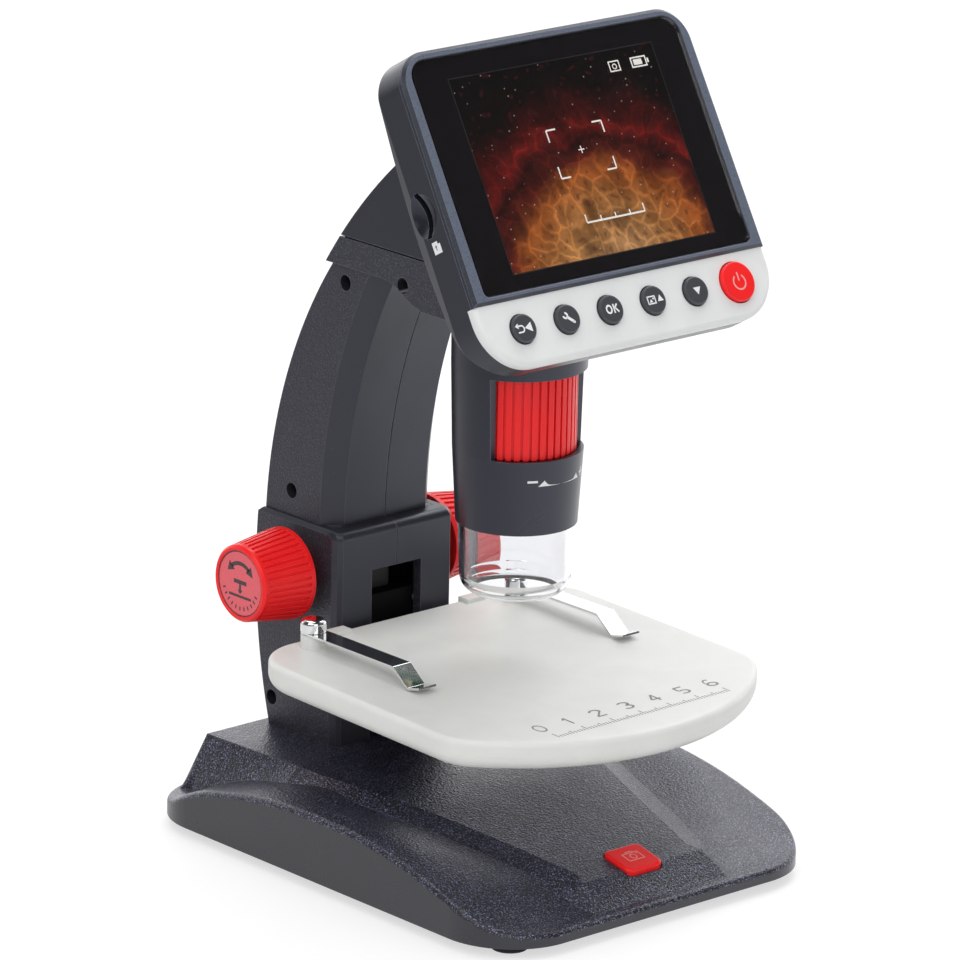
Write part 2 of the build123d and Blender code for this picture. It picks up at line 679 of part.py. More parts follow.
with BuildPart() as zoom_wheel:
    with BuildSketch(Plane.XY.offset(WHEEL_LOW)):
        with Locations((0, BARREL_Y)):
            Circle(WHEEL_R)
            Circle(WHEEL_BORE, mode=Mode.SUBTRACT)
            with PolarLocations(WHEEL_R, WHEEL_RIBS):
                Rectangle(2 * GROOVE_DEPTH, GROOVE_WIDTH, mode=Mode.SUBTRACT)
    extrude(amount=WHEEL_HIGH - WHEEL_LOW)
save(zoom_wheel, "zoom_wheel")

with BuildPart() as lens_carrier:
    with BuildSketch(barrel_section):
        with BuildLine():
            Polyline((CARRIER_BORE, 112), (CARRIER_R, 112), (CARRIER_R, 132), (CARRIER_BORE, 132),
                     (CARRIER_BORE, 119), (7.5, 119), (7.5, 118), (CARRIER_BORE, 118), close=True)
        make_face()
    revolve(axis=optical_axis)
save(lens_carrier, "lens_carrier")

with BuildPart() as objective_lens:
    with BuildSketch(Plane.XY.offset(112.6)):
        with Locations((0, BARREL_Y)):
            Circle(8.9)
    extrude(amount=5.4)
    for centre_z in (112.6 + LENS_CURVE, 118.0 - LENS_CURVE):
        with Locations((0, BARREL_Y, centre_z)):
            Sphere(LENS_CURVE, mode=Mode.INTERSECT)
save(objective_lens, "objective_lens")

with BuildPart() as sensor_board:
    with BuildSketch(Plane.XY.offset(157.0)):
        with Locations((0, BARREL_Y)):
            Circle(16.1)
    extrude(amount=1.4)
save(sensor_board, "sensor_board")

with BuildPart() as image_sensor:
    with BuildSketch(Plane.XY.offset(155.6)):
        with Locations((0, BARREL_Y)):
            Rectangle(11, 10)
    extrude(amount=1.4)
save(image_sensor, "image_sensor")

with BuildPart() as led_board:
    with BuildSketch(Plane.XY.offset(96.6)):
        with Locations((0, BARREL_Y)):
            Circle(14.5)
            Circle(6.5, mode=Mode.SUBTRACT)
    extrude(amount=1.2)
save(led_board, "led_board")

with BuildPart() as leds:
    with BuildSketch(Plane.XY.offset(94.4)):
        with Locations((0, BARREL_Y)):
            with PolarLocations(LED_RING_R, LED_COUNT):
                Circle(1.4)
    extrude(amount=2.2)
    fillet(leds.faces().filter_by(Axis.Z).group_by(Axis.Z)[0].edges(), 1.2)
save(leds, "leds")

with BuildPart() as clear_cap:
    with BuildSketch(barrel_section):
        with BuildLine():
            Polyline((13.3, 96.6), (14.5, 96.6), (14.5, BARREL_RIM), (15.5, BARREL_RIM),
                     (14.8, CAP_LOW + 4.5))
            ThreePointArc((14.8, CAP_LOW + 4.5), (13.75, CAP_LOW + 1.5), (11.7, CAP_LOW))
            Polyline((11.7, CAP_LOW), (11.7, CAP_LOW + 1.4), (12.6, CAP_LOW + 2.4), (13.3, CAP_LOW + 4.6),
                     (13.3, 96.6))
        make_face()
    revolve(axis=optical_axis)
save(clear_cap, "clear_cap")


# ---------------------------------------------------------------- focus drive

shaft_section = Plane(origin=(0, SHAFT_Y, SHAFT_Z), x_dir=(1, 0, 0), z_dir=(0, 0, 1))
shaft_end = Plane(origin=(0, SHAFT_Y, SHAFT_Z), x_dir=(0, 1, 0), z_dir=(1, 0, 0))
shaft_axis = Axis((0, SHAFT_Y, SHAFT_Z), (1, 0, 0))
KNOB_RIBS, RIB_END = 40, 39.6
PINION_HALF = 4.5
TOOTH_ROOT, TOOTH_TIP = 0.78, 0.5  # radial depths either side of the pitch line
TOOTH_HALVES = (0.66, 0.40, 0.20)  # half widths at root, pitch line and tip

with BuildPart() as focus_shaft:
    with BuildSketch(shaft_end.offset(-35)):
        Circle(SHAFT_R)
    extrude(amount=70)
    with BuildSketch(shaft_end.offset(-PINION_HALF)):
        Circle(PINION_R - TOOTH_ROOT)
        with PolarLocations(0, PINION_TEETH, start_angle=180 + 180 / PINION_TEETH):
            Polygon((PINION_R - TOOTH_ROOT - 0.2, -TOOTH_HALVES[0]), (PINION_R, -TOOTH_HALVES[1]),
                    (PINION_R + TOOTH_TIP, -TOOTH_HALVES[2]), (PINION_R + TOOTH_TIP, TOOTH_HALVES[2]),
                    (PINION_R, TOOTH_HALVES[1]), (PINION_R - TOOTH_ROOT - 0.2, TOOTH_HALVES[0]), align=None)
    extrude(amount=2 * PINION_HALF)
save(focus_shaft, "focus_shaft")


def knob_body() -> Part:
    """Right-hand focus knob: a ribbed cone with a recessed end disc."""
    slope = (KNOB_R_INNER - KNOB_R_OUTER) / (KNOB_OUTER - KNOB_INNER)
    middle = (KNOB_INNER + 1.3 + RIB_END) / 2
    with BuildPart() as body:
        with BuildSketch(shaft_section):
            with BuildLine():
                Polyline((21.2, SHAFT_R + SEAT), (21.2, 5.5), (KNOB_INNER, 5.5), (KNOB_INNER, KNOB_R_INNER),
                         (KNOB_INNER + 1.3, KNOB_R_INNER), (KNOB_OUTER - 0.6, KNOB_R_OUTER + 0.05),
                         (KNOB_OUTER, KNOB_R_OUTER - 0.6), (KNOB_OUTER, 9.2), (KNOB_OUTER - 0.4, 9.0),
                         (KNOB_OUTER - 0.4, 0), (35, 0), (35, SHAFT_R + SEAT), close=True)
            make_face()
        revolve(axis=shaft_axis)
        with Locations(shaft_end.offset(middle)):
            with PolarLocations(KNOB_R_INNER - slope * (middle - KNOB_INNER) + 0.1, KNOB_RIBS):
                Box(1.3, 0.95, RIB_END - KNOB_INNER - 1.3, rotation=(0, -7.3, 0), mode=Mode.SUBTRACT)
    return body.part


knob = knob_body()
with BuildPart() as knob_right:
    add(knob)
save(knob_right, "knob_right")

with BuildPart() as knob_left:
    add(mirror(knob, about=Plane.YZ, mode=Mode.PRIVATE))
save(knob_left, "knob_left")

with BuildPart() as shaft_bushings:
    for side in (-1, 1):
        with BuildSketch(shaft_end.offset(side * 19.0)):
            Circle(4.2)
            Circle(SHAFT_R + RUN, mode=Mode.SUBTRACT)
        extrude(amount=1.6, both=True)
save(shaft_bushings, "shaft_bushings")

with BuildPart() as guide_rods:
    with BuildSketch(Plane.XY.offset(DECK_Z)):
        with Locations((-ROD_X, ROD_Y), (ROD_X, ROD_Y)):
            Circle(ROD_R)
    extrude(amount=SPIGOT_LOW - DECK_Z)
save(guide_rods, "guide_rods")


# ---------------------------------------------------------------- stage

STAGE_LOW = STAGE_TOP - STAGE_THICK
STAGE_TOP_R, STAGE_LOW_R = 1.5, 4.4  # rounding of the plate's upper and lower edge
TAB_X, TAB_WIDTH, TAB_DEPTH, TAB_HEIGHT = 23.5, 6.0, 4.0, 1.1  # low stops at the back of the plate
BOSS_R, BOSS_TOP = 3.4, 60.3
CLIP_THICK, CLIP_WIDTH = 0.6, 6.0
CLIP_TIP_Y, CLIP_TIP_GAP = -14.4, 0.3
CARRIER_FRONT, CARRIER_BACK, CARRIER_TOP, CARRIER_LOW = 38.7, 44.8, 62.0, 43.4
CARRIER_HALF, RACK_FRONT = 16.5, 43.0
ARM_REACH = 14.0  # depth at which the carrier's arm ends under the plate
RACK_HALF, RACK_BACK = 3.9, SHAFT_Y - PINION_R
STAGE_SCREWS = [(-5, 22), (5, 22)]
SCREW_TIP = 52.9

stage_face = Plane(origin=(0, STAGE_LINE, STAGE_TOP), x_dir=(1, 0, 0), z_dir=(0, -STAGE_LEAN, 1))


def stage_height(y: float) -> float:
    """Height of the leaning stage surface at depth y."""
    return STAGE_TOP - STAGE_LEAN * (STAGE_LINE - y)


with BuildPart() as stage_plate:
    with BuildSketch(stage_face.offset(-STAGE_THICK)) as outline:
        with Locations((0, STAGE_FRONT - STAGE_LINE + STAGE_NOSE_R)):
            Circle(STAGE_NOSE_R)
        with Locations((0, STAGE_BACK - STAGE_LINE)):
            Rectangle(2 * STAGE_HALF, 160, align=(Align.CENTER, Align.MAX), mode=Mode.INTERSECT)
        fillet(outline.vertices(), STAGE_CORNER_R)
    extrude(amount=STAGE_THICK)
    fillet(stage_plate.faces().sort_by(Axis.Z)[-1].edges(), STAGE_TOP_R)
    fillet(stage_plate.faces().sort_by(Axis.Z)[0].edges(), STAGE_LOW_R)
    with BuildSketch(Plane.XY.offset(STAGE_TOP - 1)):
        with Locations((-CLIP_X, CLIP_Y), (CLIP_X, CLIP_Y)):
            Circle(BOSS_R)
    extrude(amount=BOSS_TOP - STAGE_TOP + 1)
    with BuildSketch(Plane.XY.offset(STAGE_TOP - 2)):
        with Locations((-TAB_X, STAGE_BACK), (TAB_X, STAGE_BACK)):
            Rectangle(TAB_WIDTH, TAB_DEPTH, align=(Align.CENTER, Align.MAX))
    extrude(amount=2 + TAB_HEIGHT)
    with BuildSketch(Plane.XY.offset(CARRIER_LOW)):
        with Locations((-CLIP_X, CLIP_Y), (CLIP_X, CLIP_Y)):
            Circle(1.4)
    extrude(amount=20, mode=Mode.SUBTRACT)
    with BuildSketch(Plane.XY.offset(CARRIER_LOW)):
        with Locations(*STAGE_SCREWS):
            Circle(1.2)
    extrude(amount=SCREW_TIP + 0.5 - CARRIER_LOW, mode=Mode.SUBTRACT)
save(stage_plate, "stage_plate")

with BuildPart() as stage_carrier:
    with BuildSketch(Plane.XY.offset(CARRIER_LOW)):
        with Locations((0, (CARRIER_FRONT + CARRIER_BACK) / 2)):
            Rectangle(2 * CARRIER_HALF, CARRIER_BACK - CARRIER_FRONT)
    extrude(amount=CARRIER_TOP - CARRIER_LOW)
    with BuildSketch(Plane.YZ):
        Polygon((ARM_REACH, CARRIER_LOW), (CARRIER_FRONT, CARRIER_LOW),
                (CARRIER_FRONT, stage_height(CARRIER_FRONT) - STAGE_THICK - SEAT),
                (ARM_REACH, stage_height(ARM_REACH) - STAGE_THICK - SEAT), align=None)
    extrude(amount=8, both=True)
    with BuildSketch(Plane.XY.offset(CARRIER_LOW)):
        with Locations((-ROD_X, ROD_Y), (ROD_X, ROD_Y)):
            Circle(ROD_R + RUN)
        with Locations(*STAGE_SCREWS):
            Circle(1.2)
    extrude(amount=30, mode=Mode.SUBTRACT)
    with BuildSketch(Plane.XY.offset(CARRIER_LOW)):
        with Locations((0, RACK_FRONT)):
            Rectangle(2 * RACK_HALF, 5, align=(Align.CENTER, Align.MIN))
    extrude(amount=30, mode=Mode.SUBTRACT)
save(stage_carrier, "stage_carrier")

RACK_LOW, RACK_HIGH = CARRIER_LOW + 6, SHAFT_Z + FOCUS_DOWN + 3
RACK_FIRST = int((RACK_LOW - SHAFT_Z + 1) / TOOTH_PITCH)
RACK_LAST = int((RACK_HIGH - SHAFT_Z - 1) / TOOTH_PITCH)

with BuildPart() as focus_rack:
    with BuildSketch(Plane.YZ):
        with Locations((RACK_FRONT, RACK_LOW)):
            Rectangle(RACK_BACK - TOOTH_ROOT - RACK_FRONT, RACK_HIGH - RACK_LOW, align=(Align.MIN, Align.MIN))
        with Locations(*[(RACK_BACK, SHAFT_Z + k * TOOTH_PITCH) for k in range(RACK_FIRST, RACK_LAST + 1)]):
            Polygon((-TOOTH_ROOT - 0.1, -TOOTH_HALVES[0]), (0, -TOOTH_HALVES[1]),
                    (TOOTH_TIP, -TOOTH_HALVES[2]), (TOOTH_TIP, TOOTH_HALVES[2]), (0, TOOTH_HALVES[1]),
                    (-TOOTH_ROOT - 0.1, TOOTH_HALVES[0]), align=None)
    extrude(amount=RACK_HALF, both=True)
save(focus_rack, "focus_rack")

with BuildPart() as carrier_screws:
    with BuildSketch(Plane.XY.offset(CARRIER_LOW - 1.2)):
        with Locations(*STAGE_SCREWS):
            Circle(2.2)
    extrude(amount=1.2)
    with BuildSketch(Plane.XY.offset(CARRIER_LOW)):
        with Locations(*STAGE_SCREWS):
            Circle(1.2)
    extrude(amount=SCREW_TIP - CARRIER_LOW)
save(carrier_screws, "carrier_screws")

with BuildPart() as clip_screws:
    with BuildSketch(Plane.XY.offset(STAGE_LOW + 0.2)):
        with Locations((-CLIP_X, CLIP_Y), (CLIP_X, CLIP_Y)):
            Circle(1.4)
    extrude(amount=BOSS_TOP + CLIP_THICK + 0.1 - STAGE_LOW)
    with BuildSketch(Plane.XY.offset(BOSS_TOP + CLIP_THICK + 0.15)):
        with Locations((-CLIP_X, CLIP_Y), (CLIP_X, CLIP_Y)):
            Circle(3.5)
    extrude(amount=3.4)
    fillet(clip_screws.faces().filter_by(Axis.Z).group_by(Axis.Z)[-1].edges(), 1.3)
save(clip_screws, "clip_screws")

for side, name in ((-1, "clip_left"), (1, "clip_right")):
    with BuildPart() as clip:
        with BuildSketch(Plane.YZ.offset(side * CLIP_X)):
            with BuildLine() as bend:
                strip = BOSS_TOP + 0.05 + CLIP_THICK / 2
                tip = stage_height(CLIP_TIP_Y) + CLIP_TIP_GAP + CLIP_THICK / 2
                FilletPolyline((CLIP_Y + 3.5, strip), (CLIP_TIP_Y + 5.8, strip), (CLIP_TIP_Y, tip),
                               (CLIP_TIP_Y - 4.6, tip + 1.1), radius=0.6)
            trace(bend.line, CLIP_THICK)
        extrude(amount=CLIP_WIDTH / 2, both=True)
        fillet(clip.edges().filter_by(Axis.Z).group_by(Axis.Y)[-1], 2.9)
        with BuildSketch(Plane.XY.offset(BOSS_TOP - 1)):
            with Locations((side * CLIP_X, CLIP_Y)):
                Circle(1.4 + RUN)
        extrude(amount=3, mode=Mode.SUBTRACT)
    save(clip, name)
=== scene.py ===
"""Looks of a desktop digital microscope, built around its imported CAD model.

Sizes are written in millimetres and become metres where a mesh or a node is made. X points right,
Y to the back and Z up. The operator sits in front, on the -Y side.
"""

import json
import logging
from collections.abc import Callable
from dataclasses import dataclass, field
from enum import Enum
from functools import cache
from math import cos, degrees, radians, sin, sqrt

import bmesh
import bpy
from bmesh.types import BMEdge, BMesh, BMVert
from bpy.types import Material, Node, NodeTree
from mathutils import Matrix, Vector


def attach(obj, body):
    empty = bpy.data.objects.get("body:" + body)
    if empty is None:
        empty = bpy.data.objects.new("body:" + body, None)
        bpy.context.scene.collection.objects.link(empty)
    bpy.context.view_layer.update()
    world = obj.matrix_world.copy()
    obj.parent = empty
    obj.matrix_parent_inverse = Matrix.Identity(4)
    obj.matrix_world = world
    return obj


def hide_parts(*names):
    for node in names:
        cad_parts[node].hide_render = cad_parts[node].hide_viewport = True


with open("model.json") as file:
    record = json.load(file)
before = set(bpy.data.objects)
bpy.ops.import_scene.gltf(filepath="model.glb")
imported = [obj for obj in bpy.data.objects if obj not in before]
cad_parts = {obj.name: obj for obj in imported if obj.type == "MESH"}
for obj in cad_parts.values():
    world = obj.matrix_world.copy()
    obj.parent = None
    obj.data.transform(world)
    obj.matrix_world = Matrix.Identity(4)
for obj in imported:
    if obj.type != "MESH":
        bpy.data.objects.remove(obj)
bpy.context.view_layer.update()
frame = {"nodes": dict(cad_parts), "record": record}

MM = 0.001
LOG = logging.getLogger("microscope")

Colour = tuple[float, float, float]
Point = tuple[float, float]
Spot = tuple[float, float, float]
Socket = bpy.types.NodeSocket
Verts = list[BMVert]


class Body(Enum):
    """CAD bodies that a piece can ride on."""

    STAND = "stand"
    STAGE = "stage"
    FOCUS = "focus_drive"
    BACK = "button_back"
    SETUP = "button_setup"
    OK = "button_ok"
    UP = "button_up"
    DOWN = "button_down"
    POWER = "button_power"
    SHUTTER = "button_shutter"


class Grained(Enum):
    """Faces of a moulding that carry the tool's spark-eroded grain."""

    NOWHERE = "nowhere"
    EVERYWHERE = "everywhere"
    FLANKS = "faces that look to the left or right"
    DECKS = "faces that look upwards"


# ---- places on the object


@dataclass(frozen=True)
class Place:
    """A flat spot on the object: drawings on it have x to the right and y up."""

    origin: Spot
    right: Spot
    up: Spot

    def matrix(self) -> Matrix:
        """Returns the matrix from the spot's millimetres to the object's millimetres."""
        right, up = Vector(self.right).normalized(), Vector(self.up).normalized()
        turned = Matrix((right, up, right.cross(up))).transposed()
        return Matrix.Translation(self.origin) @ turned.to_4x4()

    def moved(self, x: float = 0.0, y: float = 0.0, proud: float = 0.0) -> "Place":
        """Returns a spot shifted along this one's own directions."""
        origin = self.matrix() @ Vector((x, y, proud))
        return Place(tuple(origin), self.right, self.up)


HEAD_TILT = radians(30)
HEAD_FACE = Place((0, -34.56, 197.14), (1, 0, 0), (0, sin(HEAD_TILT), cos(HEAD_TILT)))
KEY_LINE, KEY_PITCH, KEY_TOP = -40.3, 14.85, 0.4
SHUTTER_FACE = Place((0, -60.5, 14.4), (1, 0, 0), (0, 1, 0.22))
STAGE_FACE = Place((0, 30, 56.7), (1, 0, 0), (0, 1, 0.024))
BARREL_Y = -12.2
KNOB_DISC = 40.8
SHAFT_Y, SHAFT_Z = 51.7, 68.8
INK_LIFT = 0.005


# ---- numbers of the finishes

# Noise span of the painted glints on grained faces: lighter specks that stand for light sparkling on the
# grain.
GLINT_SPAN = (0.54, 0.7)
EDGE_TURN = (0.995, 0.86)
EDGE_POLISH = 0.08
FLANK_LEAN = (0.9, 0.97)
DECK_LEAN = (0.06, 0.25)
FACET_LEAN = (0.97, 0.99)
SMUDGE_TONES = (0.92, 1.08)
GRAIN_ROUGHNESS = 0.05
SMOOTH_BUMP = 0.06
DUST: Colour = (0.5, 0.48, 0.45)
DUST_COVER = 0.25
PAD_METAL: Colour = (0.55, 0.5, 0.42)
CELL_CORE: Colour = (0.06, 0.008, 0.010)
GRIT: Colour = (0.55, 0.42, 0.36)


# ---- shader trees


class Tree:
    """Adds and joins the nodes of one material, world or node group."""

    def __init__(self, tree: NodeTree) -> None:
        """Keeps the tree that the nodes go into."""
        self.tree = tree

    def node(self, kind: str, inputs: dict | None = None, **settings: object) -> Node:
        """Adds one node.

        Args:
            kind: Blender's name of the node, without ShaderNode.
            inputs: value or socket of each input, by name or index.
            settings: the node's own properties.

        Returns:
            The new node.
        """
        node = self.tree.nodes.new(kind if kind.startswith("Node") else "ShaderNode" + kind)
        for name, value in settings.items():
            setattr(node, name, value)
        self.fill(node, inputs or {})
        return node

    def fill(self, node: Node, values: dict) -> None:
        """Joins or sets several inputs of a node, given by name or index."""
        for name, value in values.items():
            self.feed(node.inputs[name], value)

    def feed(self, socket: Socket, value: object) -> None:
        """Joins a socket to an input, or sets the input's value."""
        if isinstance(value, bpy.types.NodeSocket):
            self.tree.links.new(value, socket)
        elif isinstance(value, tuple) and socket.type == "RGBA" and len(value) == 3:
            socket.default_value = (*value, 1.0)
        else:
            socket.default_value = value

    def place(self, kind: str = "Object") -> Socket:
        """Returns the shaded point, or its normal, in the object's own axes."""
        return self.node("TexCoord").outputs[kind]

    def math(self, operation: str, *values: object) -> Socket:
        """Returns the result of a Math node on the values."""
        return self.node("Math", dict(enumerate(values)), operation=operation).outputs[0]

    def times(self, first: object, second: object) -> Socket:
        """Returns a number times another."""
        return self.math("MULTIPLY", first, second)

    def vector(self, operation: str, *values: object) -> Socket:
        """Returns the result of a Vector Math node on the values, a vector or a number."""
        node = self.node("VectorMath", dict(enumerate(values)), operation=operation)
        return node.outputs["Value" if operation in ("DOT_PRODUCT", "LENGTH") else "Vector"]

    def scaled(self, vector: Socket, factor: object) -> Socket:
        """Returns a vector times a number."""
        return self.node("VectorMath", {0: vector, "Scale": factor}, operation="SCALE").outputs[0]

    def axis(self, vector: Socket, name: str) -> Socket:
        """Returns one of a vector's or colour's three numbers."""
        return self.node("SeparateXYZ", {0: vector}).outputs[name]

    def blend(self, factor: object, first: object, second: object) -> Socket:
        """Returns the number between two numbers."""
        return self.node("Mix", {"Factor": factor, 2: first, 3: second}).outputs[0]

    def mix(self, factor: object, first: object, second: object) -> Socket:
        """Returns the colour between two colours."""
        inputs = {"Factor": factor, 6: first, 7: second}
        return self.node("Mix", inputs, data_type="RGBA").outputs[2]

    def span(self, value: object, low: float, high: float, start: float = 0.0, end: float = 1.0,
             smooth: bool = False) -> Socket:
        """Maps a value from low..high to start..end.

        Args:
            value: the number to map.
            low: input that gives start.
            high: input that gives end.
            start: output at low.
            end: output at high.
            smooth: eases both ends.

        Returns:
            The mapped number.
        """
        inputs = {"Value": value, "From Min": low, "From Max": high, "To Min": start, "To Max": end}
        kind = "SMOOTHSTEP" if smooth else "LINEAR"
        return self.node("MapRange", inputs, interpolation_type=kind).outputs["Result"]

    def ramp(self, value: object, stops: tuple[tuple[float, Colour], ...]) -> Socket:
        """Returns the colour at a value along a list of (position, colour) stops."""
        node = self.node("ValToRGB", {"Fac": value})
        elements = node.color_ramp.elements
        elements.remove(elements[1])
        elements[0].position, elements[0].color = stops[0][0], (*stops[0][1], 1.0)
        for position, colour in stops[1:]:
            elements.new(position).color = (*colour, 1.0)
        return node.outputs["Color"]

    def noise(self, scale: float, vector: Socket, detail: float = 2.0, **inputs: float) -> Socket:
        """Returns the value of a noise texture."""
        values = {"Vector": vector, "Scale": scale, "Detail": detail, **inputs}
        return self.node("TexNoise", values).outputs["Fac"]

    def bump(self, height: Socket, depth: float, strength: object = 1.0, **inputs: Socket) -> Socket:
        """Returns the normal of a relief.

        Args:
            height: the relief, from 0 to 1.
            depth: what a height of 1 stands for, in millimetres.
            strength: how strongly it shows.
            inputs: the Normal that it starts from, where that isn't the face's own.

        Returns:
            The normal.
        """
        values = {"Height": height, "Distance": depth * MM, "Strength": strength, **inputs}
        return self.node("Bump", values).outputs[0]


class SharedEffects:
    """Node groups that several finishes use, each built once."""

    def __init__(self) -> None:
        """Builds the groups."""
        self.grain = self._grain()
        self.soft_edge = self._soft_edge()
        self.handling = self._handling()

    @staticmethod
    def _start(name: str, inputs: list[tuple[str, float]], outputs: list[tuple[str, str]]) -> tuple:
        """Starts a node group.

        Args:
            name: the group's name.
            inputs: names and values of its number inputs.
            outputs: names and socket kinds of its outputs.

        Returns:
            The group's tree helper, its input node and its output node.
        """
        group = bpy.data.node_groups.new(name, "ShaderNodeTree")
        for label, value in inputs:
            socket = group.interface.new_socket(label, in_out="INPUT", socket_type="NodeSocketFloat")
            socket.default_value = value
        for label, kind in outputs:
            group.interface.new_socket(label, in_out="OUTPUT", socket_type=kind)
        tree = Tree(group)
        return tree, tree.node("NodeGroupInput"), tree.node("NodeGroupOutput")

    def _grain(self) -> NodeTree:
        """Builds moulding grain: small rounded pits, and a mask of brighter painted glints on their rims,
        specks that stand for light sparkling on the grain.
        """
        tree, given, made = self._start(
            "moulding_grain", [("Size", 0.5 * MM)],
            [("Height", "NodeSocketFloat"), ("Fleck", "NodeSocketFloat")])
        spread = tree.scaled(tree.place(), tree.math("DIVIDE", 1.0, given.outputs["Size"]))
        pits = tree.node("TexVoronoi", {"Vector": spread, "Scale": 0.9}, feature="SMOOTH_F1")
        pitted = tree.times(pits.outputs["Distance"], 0.55)
        sparks = tree.noise(1.7, spread, 1.0)
        tree.fill(made, {"Height": tree.math("ADD", pitted, tree.noise(1.1, spread)),
                         "Fleck": tree.span(sparks, *GLINT_SPAN, smooth=True)})
        return tree.tree

    def _soft_edge(self) -> NodeTree:
        """Builds rounded edges: a normal that turns over the edge, and a mask of where it does."""
        tree, given, made = self._start(
            "soft_edge", [("Radius", 0.3 * MM)],
            [("Normal", "NodeSocketVector"), ("Edge", "NodeSocketFloat")])
        rounded = tree.node("Bevel", {"Radius": given.outputs["Radius"]}, samples=6).outputs["Normal"]
        along = tree.vector("DOT_PRODUCT", rounded, tree.node("NewGeometry").outputs["Normal"])
        tree.fill(made, {"Normal": rounded, "Edge": tree.span(along, *EDGE_TURN)})
        return tree.tree

    def _handling(self) -> NodeTree:
        """Builds the marks of handling: soft smudges, and fine dust that gathers in patches."""
        tree, given, made = self._start(
            "handling", [("Spread", 12 * MM)],
            [("Smudge", "NodeSocketFloat"), ("Dust", "NodeSocketFloat")])
        spread = tree.scaled(tree.place(), tree.math("DIVIDE", 1.0, given.outputs["Spread"]))
        specks = tree.node("TexVoronoi", {"Vector": spread, "Scale": 9.0})
        near = tree.span(specks.outputs["Distance"], 0.09, 0.05)
        patches = tree.span(tree.noise(0.5, spread), 0.5, 0.7)
        tree.fill(made, {"Smudge": tree.noise(1.0, spread, 4.0, Distortion=0.6),
                         "Dust": tree.times(near, patches)})
        return tree.tree


EFFECTS = SharedEffects()


# ---- finishes


def new_material(name: str) -> tuple[Material, Tree, Node, Node]:
    """Makes an empty material.

    Args:
        name: the material's name.

    Returns:
        The material, its tree helper, its Principled shader and its output node.
    """
    material = bpy.data.materials.new(name)
    material.use_nodes = True
    material.node_tree.nodes.clear()
    tree = Tree(material.node_tree)
    shader = tree.node("BsdfPrincipled")
    output = tree.node("OutputMaterial", {"Surface": shader.outputs[0]})
    return material, tree, shader, output


def use_group(tree: Tree, group: NodeTree, **inputs: float) -> Node:
    """Returns a node that uses a shared group with its own values."""
    return tree.node("Group", inputs, node_tree=group)


def shade(colour: Colour, times: float) -> Colour:
    """Returns a colour made lighter or darker."""
    return tuple(min(channel * times, 1.0) for channel in colour)


@dataclass(frozen=True)
class Finish:
    """The look of a surface. Each kind of finish feeds the shader in its own way."""

    name: str

    def paint(self, tree: Tree, shader: Node) -> None:
        """Feeds the inputs of the Principled shader."""
        raise NotImplementedError

    @cache
    def material(self) -> Material:
        """Returns the finish as a material, which all its pieces share."""
        material, tree, shader, _ = new_material(self.name)
        self.paint(tree, shader)
        return material


